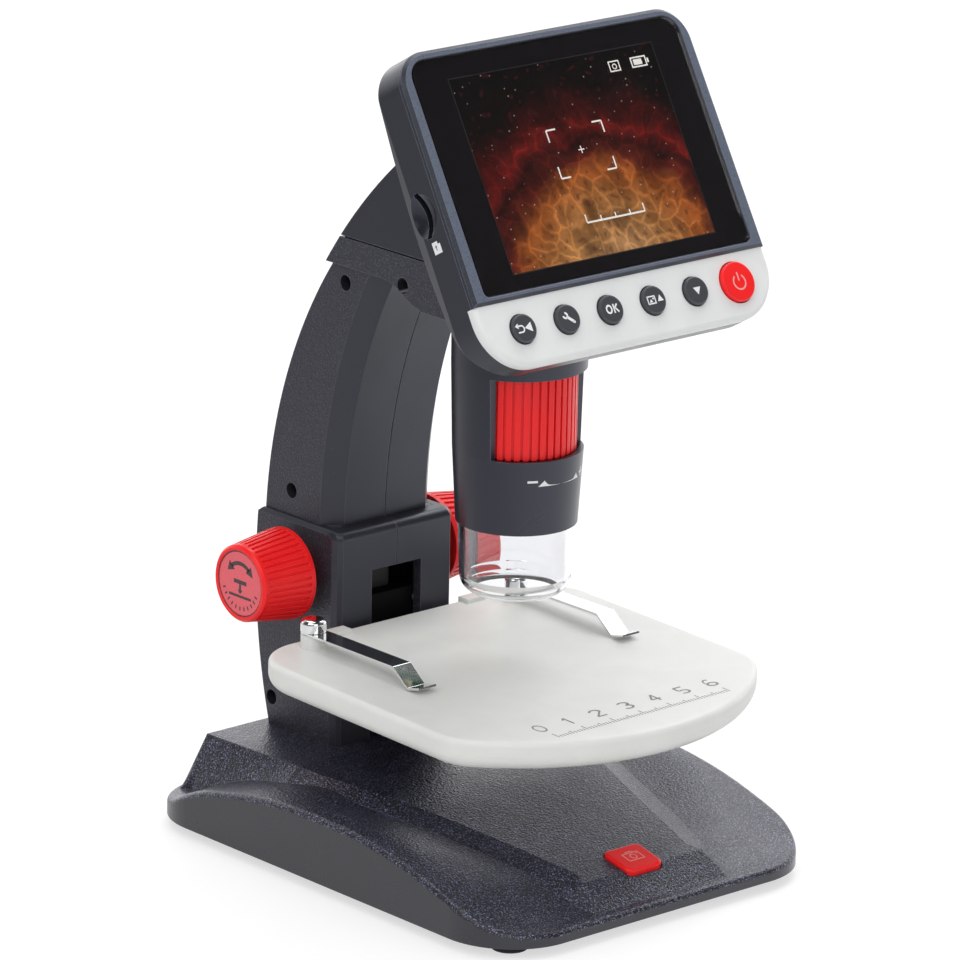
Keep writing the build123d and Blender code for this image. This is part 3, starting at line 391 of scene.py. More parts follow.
@dataclass(frozen=True)
class Moulded(Finish):
    """Injection-moulded plastic, with grain where the tool has it and softened edges. Painted light is
    layered in too: glints on the grain, highlights along the edges and the lit ring round the screen.
    """

    colour: Colour
    roughness: float
    grained: Grained = Grained.EVERYWHERE
    grain_size: float = 0.5
    grain_depth: float = 0.03
    # How much lighter the grain's painted glints are than the colour: painted sparkle of light on the grain.
    fleck: float = 1.5
    edge_radius: float = 0.35
    # How much lighter the edges are: slight wear, and mostly a painted highlight where the edges catch the
    # light.
    edge_wear_and_highlight: float = 1.25
    specular: float = 0.5
    sheen_tint: Colour = (1.0, 1.0, 1.0)
    glow_depth: float = 0.0
    # Colour of the narrow ring round the screen: a painted highlight of the lit bevel.
    ring_highlight: Colour | None = None

    def _where(self, tree: Tree) -> object:
        """Returns how strongly a face is grained, from 0 to 1."""
        if self.grained is Grained.NOWHERE:
            return 0.0
        if self.grained is Grained.EVERYWHERE:
            return 1.0
        normal = tree.place("Normal")
        if self.grained is Grained.FLANKS:
            return tree.span(tree.math("ABSOLUTE", tree.axis(normal, "X")), *FLANK_LEAN)
        return tree.span(tree.axis(normal, "Z"), *DECK_LEAN)

    def _ring_highlighted(self, tree: Tree, colour: Socket) -> Socket:
        """Returns the colour with the narrow ring round the screen painted in a lighter colour, a painted
        highlight of its lit bevel.
        """
        out = HEAD_FACE.matrix().to_3x3().col[2]
        lean = tree.vector("DOT_PRODUCT", tree.place("Normal"), tuple(out))
        return tree.mix(tree.span(lean, *FACET_LEAN), colour, self.ring_highlight)

    def paint(self, tree: Tree, shader: Node) -> None:
        """Layers smudges, painted glints, lighter edges (slight wear and mostly a painted highlight) and
        dust, and bumps the grained faces.
        """
        grain = use_group(tree, EFFECTS.grain, Size=self.grain_size * MM).outputs
        edge = use_group(tree, EFFECTS.soft_edge, Radius=self.edge_radius * MM).outputs
        touch = use_group(tree, EFFECTS.handling).outputs
        where = self._where(tree)
        tone = tree.mix(touch["Smudge"], *(shade(self.colour, share) for share in SMUDGE_TONES))
        if self.ring_highlight:
            tone = self._ring_highlighted(tree, tone)
        # Painted glints: specks of the grained faces are made lighter, standing for light sparkling on the
        # grain.
        glinted = tree.mix(tree.times(grain["Fleck"], where), tone, shade(self.colour, self.fleck))
        # Lighter edges: slight wear, and mostly a painted highlight along them.
        worn_and_highlit = tree.mix(edge["Edge"], glinted, shade(self.colour, self.edge_wear_and_highlight))
        rough = tree.span(touch["Smudge"], 0.3, 0.7, self.roughness - 0.04, self.roughness + 0.05)
        polished = tree.math("SUBTRACT", rough, tree.times(edge["Edge"], EDGE_POLISH))
        strength = tree.math("ADD", tree.times(where, 1 - SMOOTH_BUMP), SMOOTH_BUMP)
        tree.fill(shader, {
            "Base Color": tree.mix(tree.times(touch["Dust"], DUST_COVER), worn_and_highlit, DUST),
            "Roughness": tree.math("ADD", polished, tree.times(where, GRAIN_ROUGHNESS)),
            "Normal": tree.bump(grain["Height"], self.grain_depth, strength, Normal=edge["Normal"]),
            "Specular IOR Level": self.specular, "Specular Tint": self.sheen_tint})
        if self.glow_depth:
            tree.fill(shader, {"Subsurface Weight": 0.35, "Subsurface Radius": (1.0, 0.95, 0.8),
                               "Subsurface Scale": self.glow_depth * MM})


@dataclass(frozen=True)
class Metal(Finish):
    """Bare or plated metal with faint drawing lines."""

    colour: Colour
    roughness: float
    lines: float = 0.004
    edge_radius: float = 0.12

    def paint(self, tree: Tree, shader: Node) -> None:
        """Draws fine lines along Y, and dulls the metal where it was touched."""
        drawn = tree.node("Mapping", {"Vector": tree.place(), "Scale": (1.0, 0.06, 1.0)}).outputs[0]
        edge = use_group(tree, EFFECTS.soft_edge, Radius=self.edge_radius * MM).outputs
        smudge = use_group(tree, EFFECTS.handling, Spread=5 * MM).outputs["Smudge"]
        tree.fill(shader, {
            "Base Color": tree.mix(smudge, shade(self.colour, 0.93), self.colour), "Metallic": 1.0,
            "Roughness": tree.span(smudge, 0.3, 0.75, self.roughness, self.roughness + 0.1),
            "Normal": tree.bump(tree.noise(4200.0, drawn, 3.0), self.lines, 0.6,
                                Normal=edge["Normal"])})


@dataclass(frozen=True)
class Clear(Finish):
    """Clear moulded plastic or glass."""

    tint: Colour
    ior: float = 1.49
    roughness: float = 0.01
    specular: float = 0.5
    ripple: float = 0.01

    def paint(self, tree: Tree, shader: Node) -> None:
        """Lets light through a faintly rippled, here and there smudged surface."""
        smudge = use_group(tree, EFFECTS.handling, Spread=8 * MM).outputs["Smudge"]
        tree.fill(shader, {
            "Base Color": self.tint, "Transmission Weight": 1.0, "IOR": self.ior,
            "Specular IOR Level": self.specular,
            "Roughness": tree.span(smudge, 0.5, 0.8, self.roughness, self.roughness + 0.03),
            "Normal": tree.bump(tree.noise(180.0, tree.place(), 1.0), self.ripple, 0.5)})


@dataclass(frozen=True)
class Board(Finish):
    """Circuit board with solder mask, copper tracks and pads."""

    mask: Colour

    def paint(self, tree: Tree, shader: Node) -> None:
        """Draws the tracks under the mask and the bare pads."""
        place = tree.place()
        tracks = tree.node("TexBrick", {"Vector": place, "Scale": 260.0, "Mortar Size": 0.03}).outputs["Fac"]
        pads = tree.node("TexVoronoi", {"Vector": place, "Scale": 330.0})
        pad = tree.span(pads.outputs["Distance"], 0.2, 0.16)
        tracked = tree.mix(tracks, self.mask, shade(self.mask, 1.9))
        tree.fill(shader, {"Base Color": tree.mix(pad, tracked, PAD_METAL),
                           "Roughness": tree.span(pad, 0.0, 1.0, 0.32, 0.2),
                           "Normal": tree.bump(tracks, 0.03)})


@dataclass(frozen=True)
class Ink(Finish):
    """Screen-printed ink with a slightly broken surface."""

    colour: Colour
    roughness: float = 0.55
    glow: float = 0.0
    specular: float = 0.5

    def paint(self, tree: Tree, shader: Node) -> None:
        """Breaks the ink's colour and surface up with fine noise, and lights it if it glows."""
        broken = tree.noise(2600.0, tree.place())
        colour = tree.mix(tree.span(broken, 0.58, 0.75), self.colour, shade(self.colour, 0.7))
        tree.fill(shader, {
            "Base Color": colour, "Specular IOR Level": self.specular,
            "Roughness": tree.span(broken, 0.3, 0.7, self.roughness, self.roughness + 0.1),
            "Normal": tree.bump(broken, 0.01)})
        if self.glow:
            tree.fill(shader, {"Emission Color": colour, "Emission Strength": self.glow})


@dataclass(frozen=True)
class Specimen(Finish):
    """Lit display with a stained stem section: an amber core, a dark red rind, black beyond."""

    place: Place
    centre: Point = (2.0, -30.0)
    reach: float = 60.0
    cells_per_mm: float = 0.2
    drift: float = 16.0
    stops: tuple[tuple[float, Colour], ...] = (
        (0.0, (0.40, 0.220, 0.100)), (0.28, (0.40, 0.170, 0.050)), (0.46, (0.30, 0.080, 0.015)),
        (0.55, (0.090, 0.010, 0.005)), (0.62, (0.030, 0.003, 0.002)), (0.69, (0.13, 0.007, 0.005)),
        (0.75, (0.045, 0.003, 0.002)), (0.86, (0.006, 0.0015, 0.0015)), (1.0, (0.002, 0.001, 0.001)))

    def _local(self, tree: Tree) -> Socket:
        """Returns the display's own coordinates in millimetres."""
        matrix = self.place.matrix()
        return tree.node("Mapping", {
            "Vector": tree.place(), "Location": tuple(matrix.to_translation() * MM),
            "Rotation": tuple(matrix.to_euler()), "Scale": (MM, MM, MM)}, vector_type="TEXTURE").outputs[0]

    def _bent(self, tree: Tree, local: Socket) -> Socket:
        """Returns the coordinates with the tissue's uneven growth."""
        noise = tree.node("TexNoise", {"Vector": local, "Scale": 0.06, "Detail": 4.0})
        swing = tree.vector("SUBTRACT", noise.outputs["Color"], (0.5, 0.5, 0.5))
        return tree.vector("ADD", local, tree.scaled(swing, self.drift))

    def _celled(self, tree: Tree, bent: Socket, local: Socket) -> Socket:
        """Returns the tissue's colour with its cells: bright walls, uneven bodies and dark cores."""
        squeezed = tree.vector("MULTIPLY", tree.vector("SUBTRACT", bent, (*self.centre, 0.0)),
                               (0.92, 1.08, 0.0))
        tissue = tree.ramp(tree.span(tree.vector("LENGTH", squeezed), 0.0, self.reach), self.stops)
        cell = {"Vector": bent, "Scale": self.cells_per_mm, "Randomness": 0.85}
        edge = tree.node("TexVoronoi", cell, voronoi_dimensions="2D", feature="DISTANCE_TO_EDGE")
        body = tree.node("TexVoronoi", cell, voronoi_dimensions="2D").outputs
        wall = tree.span(edge.outputs["Distance"], 0.0, 0.16, 1.45, 0.92, smooth=True)
        own = tree.span(tree.axis(body["Color"], "X"), 0.0, 1.0, 0.78, 1.18)
        cloud = tree.span(tree.noise(0.09, local, 6.0, Roughness=0.62), 0.36, 0.66, 0.4, 1.35)
        shown = tree.scaled(tissue, tree.times(tree.times(wall, own), cloud))
        core = tree.span(body["Distance"], 0.17, 0.07, smooth=True)
        return tree.mix(tree.times(core, 0.45), shown, CELL_CORE)

    def paint(self, tree: Tree, shader: Node) -> None:
        """Lights the tissue and its bright grit on a black, barely shiny panel."""
        local = self._local(tree)
        celled = self._celled(tree, self._bent(tree, local), local)
        grit = tree.node("TexVoronoi", {"Vector": local, "Scale": 0.3}, voronoi_dimensions="2D").outputs
        chosen = tree.span(tree.axis(grit["Color"], "X"), 0.6, 0.95)
        bright = tree.times(tree.span(grit["Distance"], 0.07, 0.03), chosen)
        tree.fill(shader, {
            "Base Color": (0.004, 0.004, 0.004), "Specular IOR Level": 0.05, "Roughness": 0.4,
            "Emission Color": tree.mix(bright, celled, GRIT), "Emission Strength": 1.0})


COLD_SHEEN: Colour = (0.82, 0.86, 1.0)
STEEL = Metal("drawn_steel", (0.55, 0.55, 0.56), 0.25)
BLACK_STEEL = Metal("blackened_steel", (0.08, 0.08, 0.085), 0.35)
WHITE_INK = Ink("white_ink", (0.82, 0.83, 0.84))
PINK_INK = Ink("pale_red_ink", (0.88, 0.33, 0.31))
GREY_INK = Ink("grey_ink", (0.22, 0.225, 0.23))
LABEL_INK = Ink("label_red", (0.84, 0.13, 0.16), 0.45)
DARK_INK = Ink("label_dark", (0.075, 0.045, 0.05), 0.45)
BORDER_INK = Ink("border_ink", (0.0150, 0.0115, 0.0145), 0.4, specular=0.05)
BORDER_LINE = Ink("border_line", (0.050, 0.048, 0.052), 0.4, specular=0.05)
LIT_INK = Ink("lit_pixels", (0.62, 0.60, 0.56), glow=1.0)

FINISH_OF_SLOT: dict[str, Finish] = {
    # In the mouldings below, the lighter edges are mostly a painted highlight, and the lighter specks on
    # grained faces are painted glints.
    "grained_plastic": Moulded(
        "grained_charcoal", (0.0225, 0.0225, 0.0295), 0.36, Grained.FLANKS, 0.6, 0.13, fleck=3.4,
        edge_radius=0.3, edge_wear_and_highlight=5.0, specular=0.6, sheen_tint=COLD_SHEEN),
    "smooth_plastic": Moulded(
        "satin_charcoal", (0.0160, 0.0162, 0.0235), 0.3, Grained.NOWHERE, edge_radius=0.25,
        edge_wear_and_highlight=9.0, specular=0.58, sheen_tint=COLD_SHEEN),
    # The frame's lighter ring round the screen and its bright edges are painted highlights.
    "frame_plastic": Moulded(
        "screen_frame_charcoal", (0.010, 0.011, 0.016), 0.3, grain_size=0.4, grain_depth=0.05,
        fleck=4.0, edge_radius=0.2, edge_wear_and_highlight=26.0, specular=0.6, sheen_tint=COLD_SHEEN,
        ring_highlight=(0.125, 0.145, 0.195)),
    "panel_white": Moulded(
        "panel_white", (0.77, 0.785, 0.785), 0.36, grain_size=0.3, grain_depth=0.008, fleck=1.02,
        edge_wear_and_highlight=1.04),
    "stage_white": Moulded(
        "stage_white", (0.75, 0.76, 0.735), 0.36, grain_size=0.4, grain_depth=0.008, fleck=1.02,
        edge_radius=0.6, edge_wear_and_highlight=1.05, glow_depth=2.5),
    # The knob's lighter rib edges are a painted highlight.
    "red_plastic": Moulded(
        "knob_red", (0.94, 0.012, 0.014), 0.3, grain_size=0.3, grain_depth=0.012, fleck=1.15,
        edge_radius=0.2, edge_wear_and_highlight=8.0, specular=0.35),
    "key_plastic": Moulded(
        "key_grey", (0.045, 0.048, 0.057), 0.38, grain_size=0.25, grain_depth=0.01, fleck=1.3,
        edge_wear_and_highlight=2.4),
    "screen_black": Moulded("display_black", (0.006, 0.006, 0.007), 0.3, Grained.NOWHERE),
    "clear_plastic": Clear("clear_cap_plastic", (0.875, 0.88, 0.895)),
    "lens_glass": Clear("lens_glass", (0.93, 0.95, 1.0), 1.52),
    "chrome": Metal("chrome_plate", (0.86, 0.87, 0.88), 0.05, 0.001),
    "steel": STEEL,
    "black_steel": BLACK_STEEL,
    "rubber": Moulded("foot_rubber", (0.014, 0.014, 0.015), 0.8, grain_size=0.3, fleck=1.3),
    "board": Board("circuit_board", (0.01, 0.09, 0.04)),
    "component": Moulded("chip_black", (0.02, 0.02, 0.021), 0.5, grain_size=0.2, grain_depth=0.01),
    "led": Moulded("led_dome", (0.9, 0.85, 0.55), 0.2, Grained.NOWHERE, glow_depth=1.0),
    "cell": Moulded("cell_wrap", (0.25, 0.3, 0.38), 0.35, grain_size=0.6, grain_depth=0.02),
}
FINISH_OF_NODE: dict[str, Finish] = {
    # The base's many lighter specks are painted glints, and its lighter edges a painted highlight.
    "base_shell": Moulded(
        "base_charcoal", (0.0062, 0.0065, 0.0105), 0.27, Grained.DECKS, 0.66, 0.2, fleck=34.0,
        edge_radius=0.3, edge_wear_and_highlight=12.0, specular=0.82, sheen_tint=(0.93, 0.94, 1.0)),
    # The carrier is painted almost black, darker than the other plastics: black plastic with the painted
    # shade of the slot that it sits in.
    "stage_carrier": Moulded(
        "carrier_shaded_black", (0.003, 0.003, 0.004), 0.6, Grained.NOWHERE, specular=0.15),
    "screen_glass": Clear("screen_glass", (0.96, 0.96, 0.97), 1.5, 0.0, 0.16, 0.0),
    "lcd_panel": Specimen("specimen_picture", HEAD_FACE),
}


def dress_nodes() -> None:
    """Puts a finish on every CAD node, by its own name or by its material slot."""
    for part in frame["record"]["subparts"]:
        name = part["node"]
        finish = FINISH_OF_NODE.get(name, FINISH_OF_SLOT[part["material_slot"]])
        for slot in frame["nodes"][name].material_slots:
            slot.material = finish.material()
        LOG.info("dressed %s in %s", name, finish.name)


# ---- modelling tools


def link_object(name: str, data: bpy.types.ID) -> bpy.types.Object:
    """Makes an object of its data and puts it in the scene."""
    made = bpy.data.objects.new(name, data)
    bpy.context.scene.collection.objects.link(made)
    return made


def mesh_object(name: str, bm: BMesh, material: Material) -> bpy.types.Object:
    """Makes an object from a bmesh in metres, which is freed."""
    mesh = bpy.data.meshes.new(name)
    bm.to_mesh(mesh)
    bm.free()
    mesh.materials.append(material)
    return link_object(name, mesh)


def add_piece(name: str, bm: BMesh, finish: Finish, body: Body,
              replaces: tuple[str, ...] = ()) -> None:
    """Makes a finished object from a bmesh in metres and ties it to its body.

    Args:
        name: the piece's name.
        bm: its shape, which is freed.
        finish: its finish.
        body: the CAD body that it rides on.
        replaces: CAD nodes that it stands for.
    """
    bmesh.ops.recalc_face_normals(bm, faces=bm.faces[:])
    piece = mesh_object(name, bm, finish.material())
    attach(piece, body.value)
    if replaces:
        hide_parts(*replaces)
    LOG.info("built %s with %d faces", name, len(piece.data.polygons))


def only(kind: type, geometry: list) -> list:
    """Returns the items of one bmesh kind among the results of an operator."""
    return [item for item in geometry if isinstance(item, kind)]


@dataclass
class Drawing:
    """Flat shapes in millimetres that become a thin layer of ink on the object."""

    layer: float = 0.03
    bm: BMesh = field(default_factory=bmesh.new)

    def _lay(self, verts: Verts, centre: Point, turn: float = 0.0, stretch: Point = (1.0, 1.0)) -> None:
        """Stretches, turns and moves vertices that were made round the origin."""
        matrix = (Matrix.Translation((*centre, 0)) @ Matrix.Rotation(radians(turn), 4, "Z")
                  @ Matrix.Diagonal((*stretch, 1, 1)))
        bmesh.ops.transform(self.bm, matrix=matrix, verts=verts)

    def _strip(self, steps: int) -> Verts:
        """Adds a unit square that is cut into steps along x, and returns its vertices."""
        return bmesh.ops.create_grid(self.bm, x_segments=steps, y_segments=1, size=0.5)["verts"]

    def bars(self, width: float, *runs: tuple[Point, Point], steps: int = 1) -> None:
        """Draws straight bars.

        Args:
            width: their width.
            runs: the start and the end of each.
            steps: how many faces each has, so that it can bend with its ground.
        """
        for start, end in runs:
            run = Vector(end) - Vector(start)
            middle = tuple((Vector(end) + Vector(start)) / 2)
            turn = degrees(run.angle_signed(Vector((1, 0))))
            self._lay(self._strip(steps), middle, turn, (run.length, width))

    def disc(self, centre: Point, radius: float, stretch: Point = (1.0, 1.0), turn: float = 0.0,
             corners: int = 28) -> None:
        """Draws a filled disc, or with few corners a triangle or a lozenge."""
        made = bmesh.ops.create_circle(self.bm, cap_ends=True, segments=corners, radius=radius)
        self._lay(made["verts"], centre, turn, stretch)

    def triangle(self, centre: Point, length: float, across: float, direction: float) -> None:
        """Draws a triangle that points in a direction, in degrees from x."""
        self.disc(centre, 1.0, (across / sqrt(3), length / 1.5), direction - 90, 3)

    def blade(self, tip: Point, barb: Point, tail: Point) -> None:
        """Draws a slim half-arrow.

        Args:
            tip: its point, at one end of its level lower edge.
            barb: its highest point.
            tail: the other end, towards which the upper edge hollows.
        """
        thinnest, taper, bend = 0.02, 0.24, 5
        for vert in self._strip(16):
            x = tip[0] + (tail[0] - tip[0]) * (vert.co.x + 0.5)
            rising = (x - tip[0]) / (barb[0] - tip[0])
            falling = (x - tail[0]) / (barb[0] - tail[0])
            share = max(falling ** bend, taper * falling) if rising > 1 else rising
            height = (barb[1] - tip[1]) * max(share, thinnest)
            vert.co = (x, tip[1] + height * (vert.co.y + 0.5), 0)

    def arc(self, centre: Point, radius: float, width: float, start: float = 0.0, sweep: float = 360.0,
            stretch: Point = (1.0, 1.0)) -> None:
        """Draws part of a ring from a start angle through a sweep, in degrees."""
        before = set(self.bm.verts)
        ends = [self.bm.verts.new((radius + side * width / 2, 0, 0)) for side in (-1, 1)]
        edge = self.bm.edges.new(ends)
        steps = max(6, round(abs(sweep) / 12))
        axis = {"cent": (0, 0, 0), "matrix": Matrix.Rotation(radians(start), 3, "Z")}
        bmesh.ops.rotate(self.bm, verts=ends, **axis)
        bmesh.ops.spin(self.bm, geom=[edge, *ends], cent=(0, 0, 0), axis=(0, 0, 1), angle=radians(sweep),
                       steps=steps, use_merge=abs(sweep) >= 360)
        self._lay([v for v in self.bm.verts if v not in before], centre, 0.0, stretch)

    def frame(self, centre: Point, size: Point, width: float) -> None:
        """Draws the outline of a box."""
        (x, y), (half_x, half_y) = centre, (size[0] / 2, size[1] / 2)
        reach = half_x + width / 2
        for side in (-1, 1):
            level, upright = y + side * half_y, x + side * half_x
            self.bars(width, ((x - reach, level), (x + reach, level)),
                      ((upright, y - half_y), (upright, y + half_y)))

    def wrapped(self, wrap: Callable[[Vector], Vector], name: str, ink: Ink, body: Body) -> None:
        """Gives the drawing its thickness and puts it on the object.

        Args:
            wrap: from a point of the drawing, with z as its height, to the object's millimetres.
            name: the piece's name.
            ink: its finish.
            body: the CAD body that it rides on.
        """
        raised = bmesh.ops.extrude_face_region(self.bm, geom=self.bm.faces[:], use_keep_orig=True)
        bmesh.ops.translate(self.bm, verts=only(BMVert, raised["geom"]), vec=(0, 0, self.layer))
        for vert in self.bm.verts:
            vert.co = wrap(vert.co) * MM
        add_piece(name, self.bm, ink, body)

    def onto(self, place: Place, name: str, ink: Ink, body: Body, slot: str) -> None:
        """Prints the drawing flat on a place. The other arguments are those of wrapped."""
        matrix = place.matrix()
        self.wrapped(lambda point: matrix @ point, name, ink, body)


# ---- head


@dataclass
class ScreenPicture:
    """What lies under the screen glass: the black printed border and the display's overlay."""

    active_half: Point = (35.04, 26.3)
    centre_x: float = 0.7
    border_half: Point = (45.8, 31.3)
    border_middle: float = 0.9
    border_depth: float = -1.25
    line_layer: float = 0.004
    overlay_depth: float = -1.29
    overlay_layer: float = 0.01
    status_line: float = 21.8

    def build(self) -> None:
        """Builds the border and the overlay."""
        self._border()
        self._overlay()

    def _border(self) -> None:
        """Builds the black border round the lit area, and the fine line along its inner edge."""
        drawing = Drawing()
        (half_x, half_y), (far_x, far_y) = self.active_half, self.border_half
        x, y = self.centre_x, self.border_middle
        drawing.bars(2 * far_y, ((-far_x, y), (x - half_x, y)), ((x + half_x, y), (far_x, y)))
        drawing.bars(2 * half_x, ((x, y - far_y), (x, -half_y)), ((x, half_y), (x, y + far_y)))
        face = HEAD_FACE.moved(proud=self.border_depth)
        drawing.onto(face, "screen_border", BORDER_INK, Body.STAND, "screen_black")
        line = Drawing(self.line_layer)
        line.frame((x, 0), (2 * half_x, 2 * half_y), 0.3)
        line.onto(face.moved(proud=0.032), "screen_border_line", BORDER_LINE, Body.STAND, "screen_black")

    def _overlay(self) -> None:
        """Builds the display's scale bar, focus brackets and status signs."""
        drawing = Drawing(self.overlay_layer)
        self._scale_bar(drawing, (5.0, -17.0))
        self._brackets(drawing, (1.0, 2.0))
        y = self.status_line
        drawing.frame((29.5, y), (5.0, 2.5), 0.4)
        drawing.bars(1.5, ((27.7, y), (30.6, y)))
        drawing.bars(1.2, ((32.4, y), (33.0, y)))
        drawing.frame((21.0, y), (3.4, 2.6), 0.35)
        drawing.arc((21.0, y - 0.1), 0.65, 0.3)
        face = HEAD_FACE.moved(proud=self.overlay_depth)
        drawing.onto(face, "screen_overlay", LIT_INK, Body.STAND, "screen_black")

    @staticmethod
    def _scale_bar(drawing: Drawing, middle: Point, length: float = 20.0, parts: int = 4) -> None:
        """Draws a bar with upright ticks, of which the end ones are taller."""
        x, y = middle[0] - length / 2, middle[1]
        drawing.bars(0.5, ((x, y), (x + length, y)))
        for step in range(parts + 1):
            tick = x + step * length / parts
            drawing.bars(0.4, ((tick, y), (tick, y + (1.3 if step % parts else 2.2))))

    @staticmethod
    def _brackets(drawing: Drawing, middle: Point, half: Point = (9.5, 6.5), arm: float = 3.2) -> None:
        """Draws four corner brackets round a small cross."""
        for side_x in (-1, 1):
            for side_y in (-1, 1):
                x, y = middle[0] + side_x * half[0], middle[1] + side_y * half[1]
                drawing.bars(0.45, ((x, y), (x - side_x * arm, y)), ((x, y), (x, y - side_y * arm)))
        x, y = middle
        drawing.bars(0.3, ((x - 1, y), (x + 1, y)), ((x, y - 1), (x, y + 1)))


@dataclass
class KeySigns:
    """Signs printed on the keys under the screen and on the side of the head."""

    card_spot: Point = (-14.3, -7.1)
    head_side: float = -50.03

    def build(self) -> None:
        """Builds one printed sign for each key, and the card sign."""
        signs = {Body.BACK: self._back, Body.SETUP: self._wrench, Body.OK: self._ok,
                 Body.UP: self._picture, Body.DOWN: self._down, Body.POWER: self._power}
        for i, (body, draw) in enumerate(signs.items()):
            drawing = Drawing()
            draw(drawing)
            ink, slot = (PINK_INK, "red_plastic") if body is Body.POWER else (WHITE_INK, "key_plastic")
            spot = HEAD_FACE.moved((i - 2.5) * KEY_PITCH, KEY_LINE, KEY_TOP + INK_LIFT)
            drawing.onto(spot, f"sign_{body.name.lower()}", ink, body, slot)
        self._card()

    @staticmethod
    def _back(drawing: Drawing) -> None:
        """Draws a return arrow and a triangle to the left."""
        drawing.bars(0.4, ((-2.4, 0.75), (-1.3, 0.75)), ((-2.6, -0.95), (-1.3, -0.95)))
        drawing.arc((-1.3, -0.1), 0.85, 0.4, -90, 180)
        drawing.triangle((-2.55, 0.75), 1.1, 1.5, 180)
        drawing.triangle((1.35, 0.0), 2.3, 2.6, 180)

    @staticmethod
    def _wrench(drawing: Drawing) -> None:
        """Draws a wrench whose open jaw is at the upper left."""
        drawing.bars(0.8, ((-0.55, 0.45), (1.35, -1.15)))
        drawing.disc((1.35, -1.15), 0.4)
        drawing.arc((-1.0, 0.85), 0.68, 0.55, 180, 270)

    @staticmethod
    def _ok(drawing: Drawing) -> None:
        """Draws the letters O and K."""
        drawing.arc((-1.1, 0.0), 0.86, 0.46, stretch=(0.98, 1.15))
        drawing.bars(0.46, ((0.55, -1.22), (0.55, 1.22)), ((0.6, -0.15), (1.85, 1.1)),
                     ((0.95, 0.2), (1.95, -1.12)))

    @staticmethod
    def _picture(drawing: Drawing) -> None:
        """Draws a framed picture and a triangle upwards."""
        drawing.frame((-1.25, 0.0), (2.5, 1.9), 0.34)
        drawing.triangle((-1.45, -0.3), 0.9, 1.1, 90)
        drawing.disc((-0.6, 0.35), 0.26)
        drawing.triangle((1.75, -0.1), 1.7, 2.0, 90)

    @staticmethod
    def _down(drawing: Drawing) -> None:
        """Draws a triangle downwards."""
        drawing.triangle((0.0, 0.15), 2.0, 2.5, -90)

    @staticmethod
    def _power(drawing: Drawing) -> None:
        """Draws a ring open at the top with a bar in the gap."""
        drawing.arc((0.0, -0.25), 2.0, 0.46, 125, 290)
        drawing.bars(0.46, ((0.0, 0.1), (0.0, 2.4)))

    def _card(self) -> None:
        """Builds the memory card sign on the left side of the head: a card with a cut corner."""
        right = (0, -cos(HEAD_TILT), sin(HEAD_TILT))
        v, w = self.card_spot
        middle = Place(HEAD_FACE.origin, right, HEAD_FACE.up).moved(w, v)
        spot = Place((self.head_side, *middle.origin[1:]), right, HEAD_FACE.up)
        card = Drawing()
        card.bars(2.2, ((-0.4, -1.6), (-0.4, 1.6)))
        card.bars(0.9, ((1.15, -1.6), (1.15, 0.85)))
        card.onto(spot, "sign_card", WHITE_INK, Body.STAND, "smooth_plastic")
        arrow = Drawing()
        arrow.bars(0.3, ((-0.2, -0.7), (-0.2, 0.2)))
        arrow.triangle((-0.2, 0.35), 0.7, 0.9, 90)
        arrow.onto(spot.moved(proud=card.layer), "sign_card_arrow", GREY_INK, Body.STAND, "smooth_plastic")


# ---- barrel, base, stage, knobs


@dataclass
class BarrelMarks:
    """Minus and plus with two arrows, printed round the barrel under the wheel."""

    rim: Point = (94.8, 16.1)
    wheel: Point = (115.0, 17.3)
    line_z: float = 108.3

    def wrap(self, point: Vector) -> Vector:
        """Returns a drawing's point on the barrel's cone: x runs round it from the front."""
        (low_z, low_r), (high_z, high_r) = self.rim, self.wheel
        z = self.line_z + point.y
        ground = low_r + (high_r - low_r) * (z - low_z) / (high_z - low_z) + INK_LIFT
        angle, radius = point.x / ground, ground + point.z
        return Vector((radius * sin(angle), BARREL_Y - radius * cos(angle), z))

    def build(self) -> None:
        """Builds the printed marks."""
        drawing = Drawing()
        drawing.bars(0.6, ((-9.8, 1.45), (-7.0, 1.45)), steps=5)
        drawing.blade((-6.8, 0.1), (-5.1, 1.7), (-0.2, 0.1))
        drawing.blade((7.7, 0.1), (6.4, 1.7), (0.8, 0.1))
        drawing.bars(0.55, ((8.3, 1.3), (10.7, 1.3)), steps=5)
        drawing.bars(0.6, ((9.5, 0.1), (9.5, 2.5)), steps=2)
        drawing.wrapped(self.wrap, "magnification_marks", WHITE_INK, Body.STAND)


@dataclass
class BaseSigns:
    """Camera outline on the snapshot key."""

    size: Point = (5.2, 3.3)
    line: float = 0.32

    def build(self) -> None:
        """Builds the camera sign."""
        drawing = Drawing()
        half_x, half_y = self.size[0] / 2, self.size[1] / 2
        top = half_y + 0.65
        drawing.frame((0, 0), self.size, self.line)
        drawing.bars(self.line, ((-0.9, top), (0.9, top)), ((-1.5, half_y), (-0.85, top)),
                     ((1.5, half_y), (0.85, top)))
        drawing.arc((0, -0.05), 0.95, self.line)
        drawing.disc((half_x - 0.75, half_y - 0.65), 0.24)
        drawing.onto(SHUTTER_FACE.moved(proud=INK_LIFT), "sign_snapshot", PINK_INK, Body.SHUTTER,
                     "red_plastic")


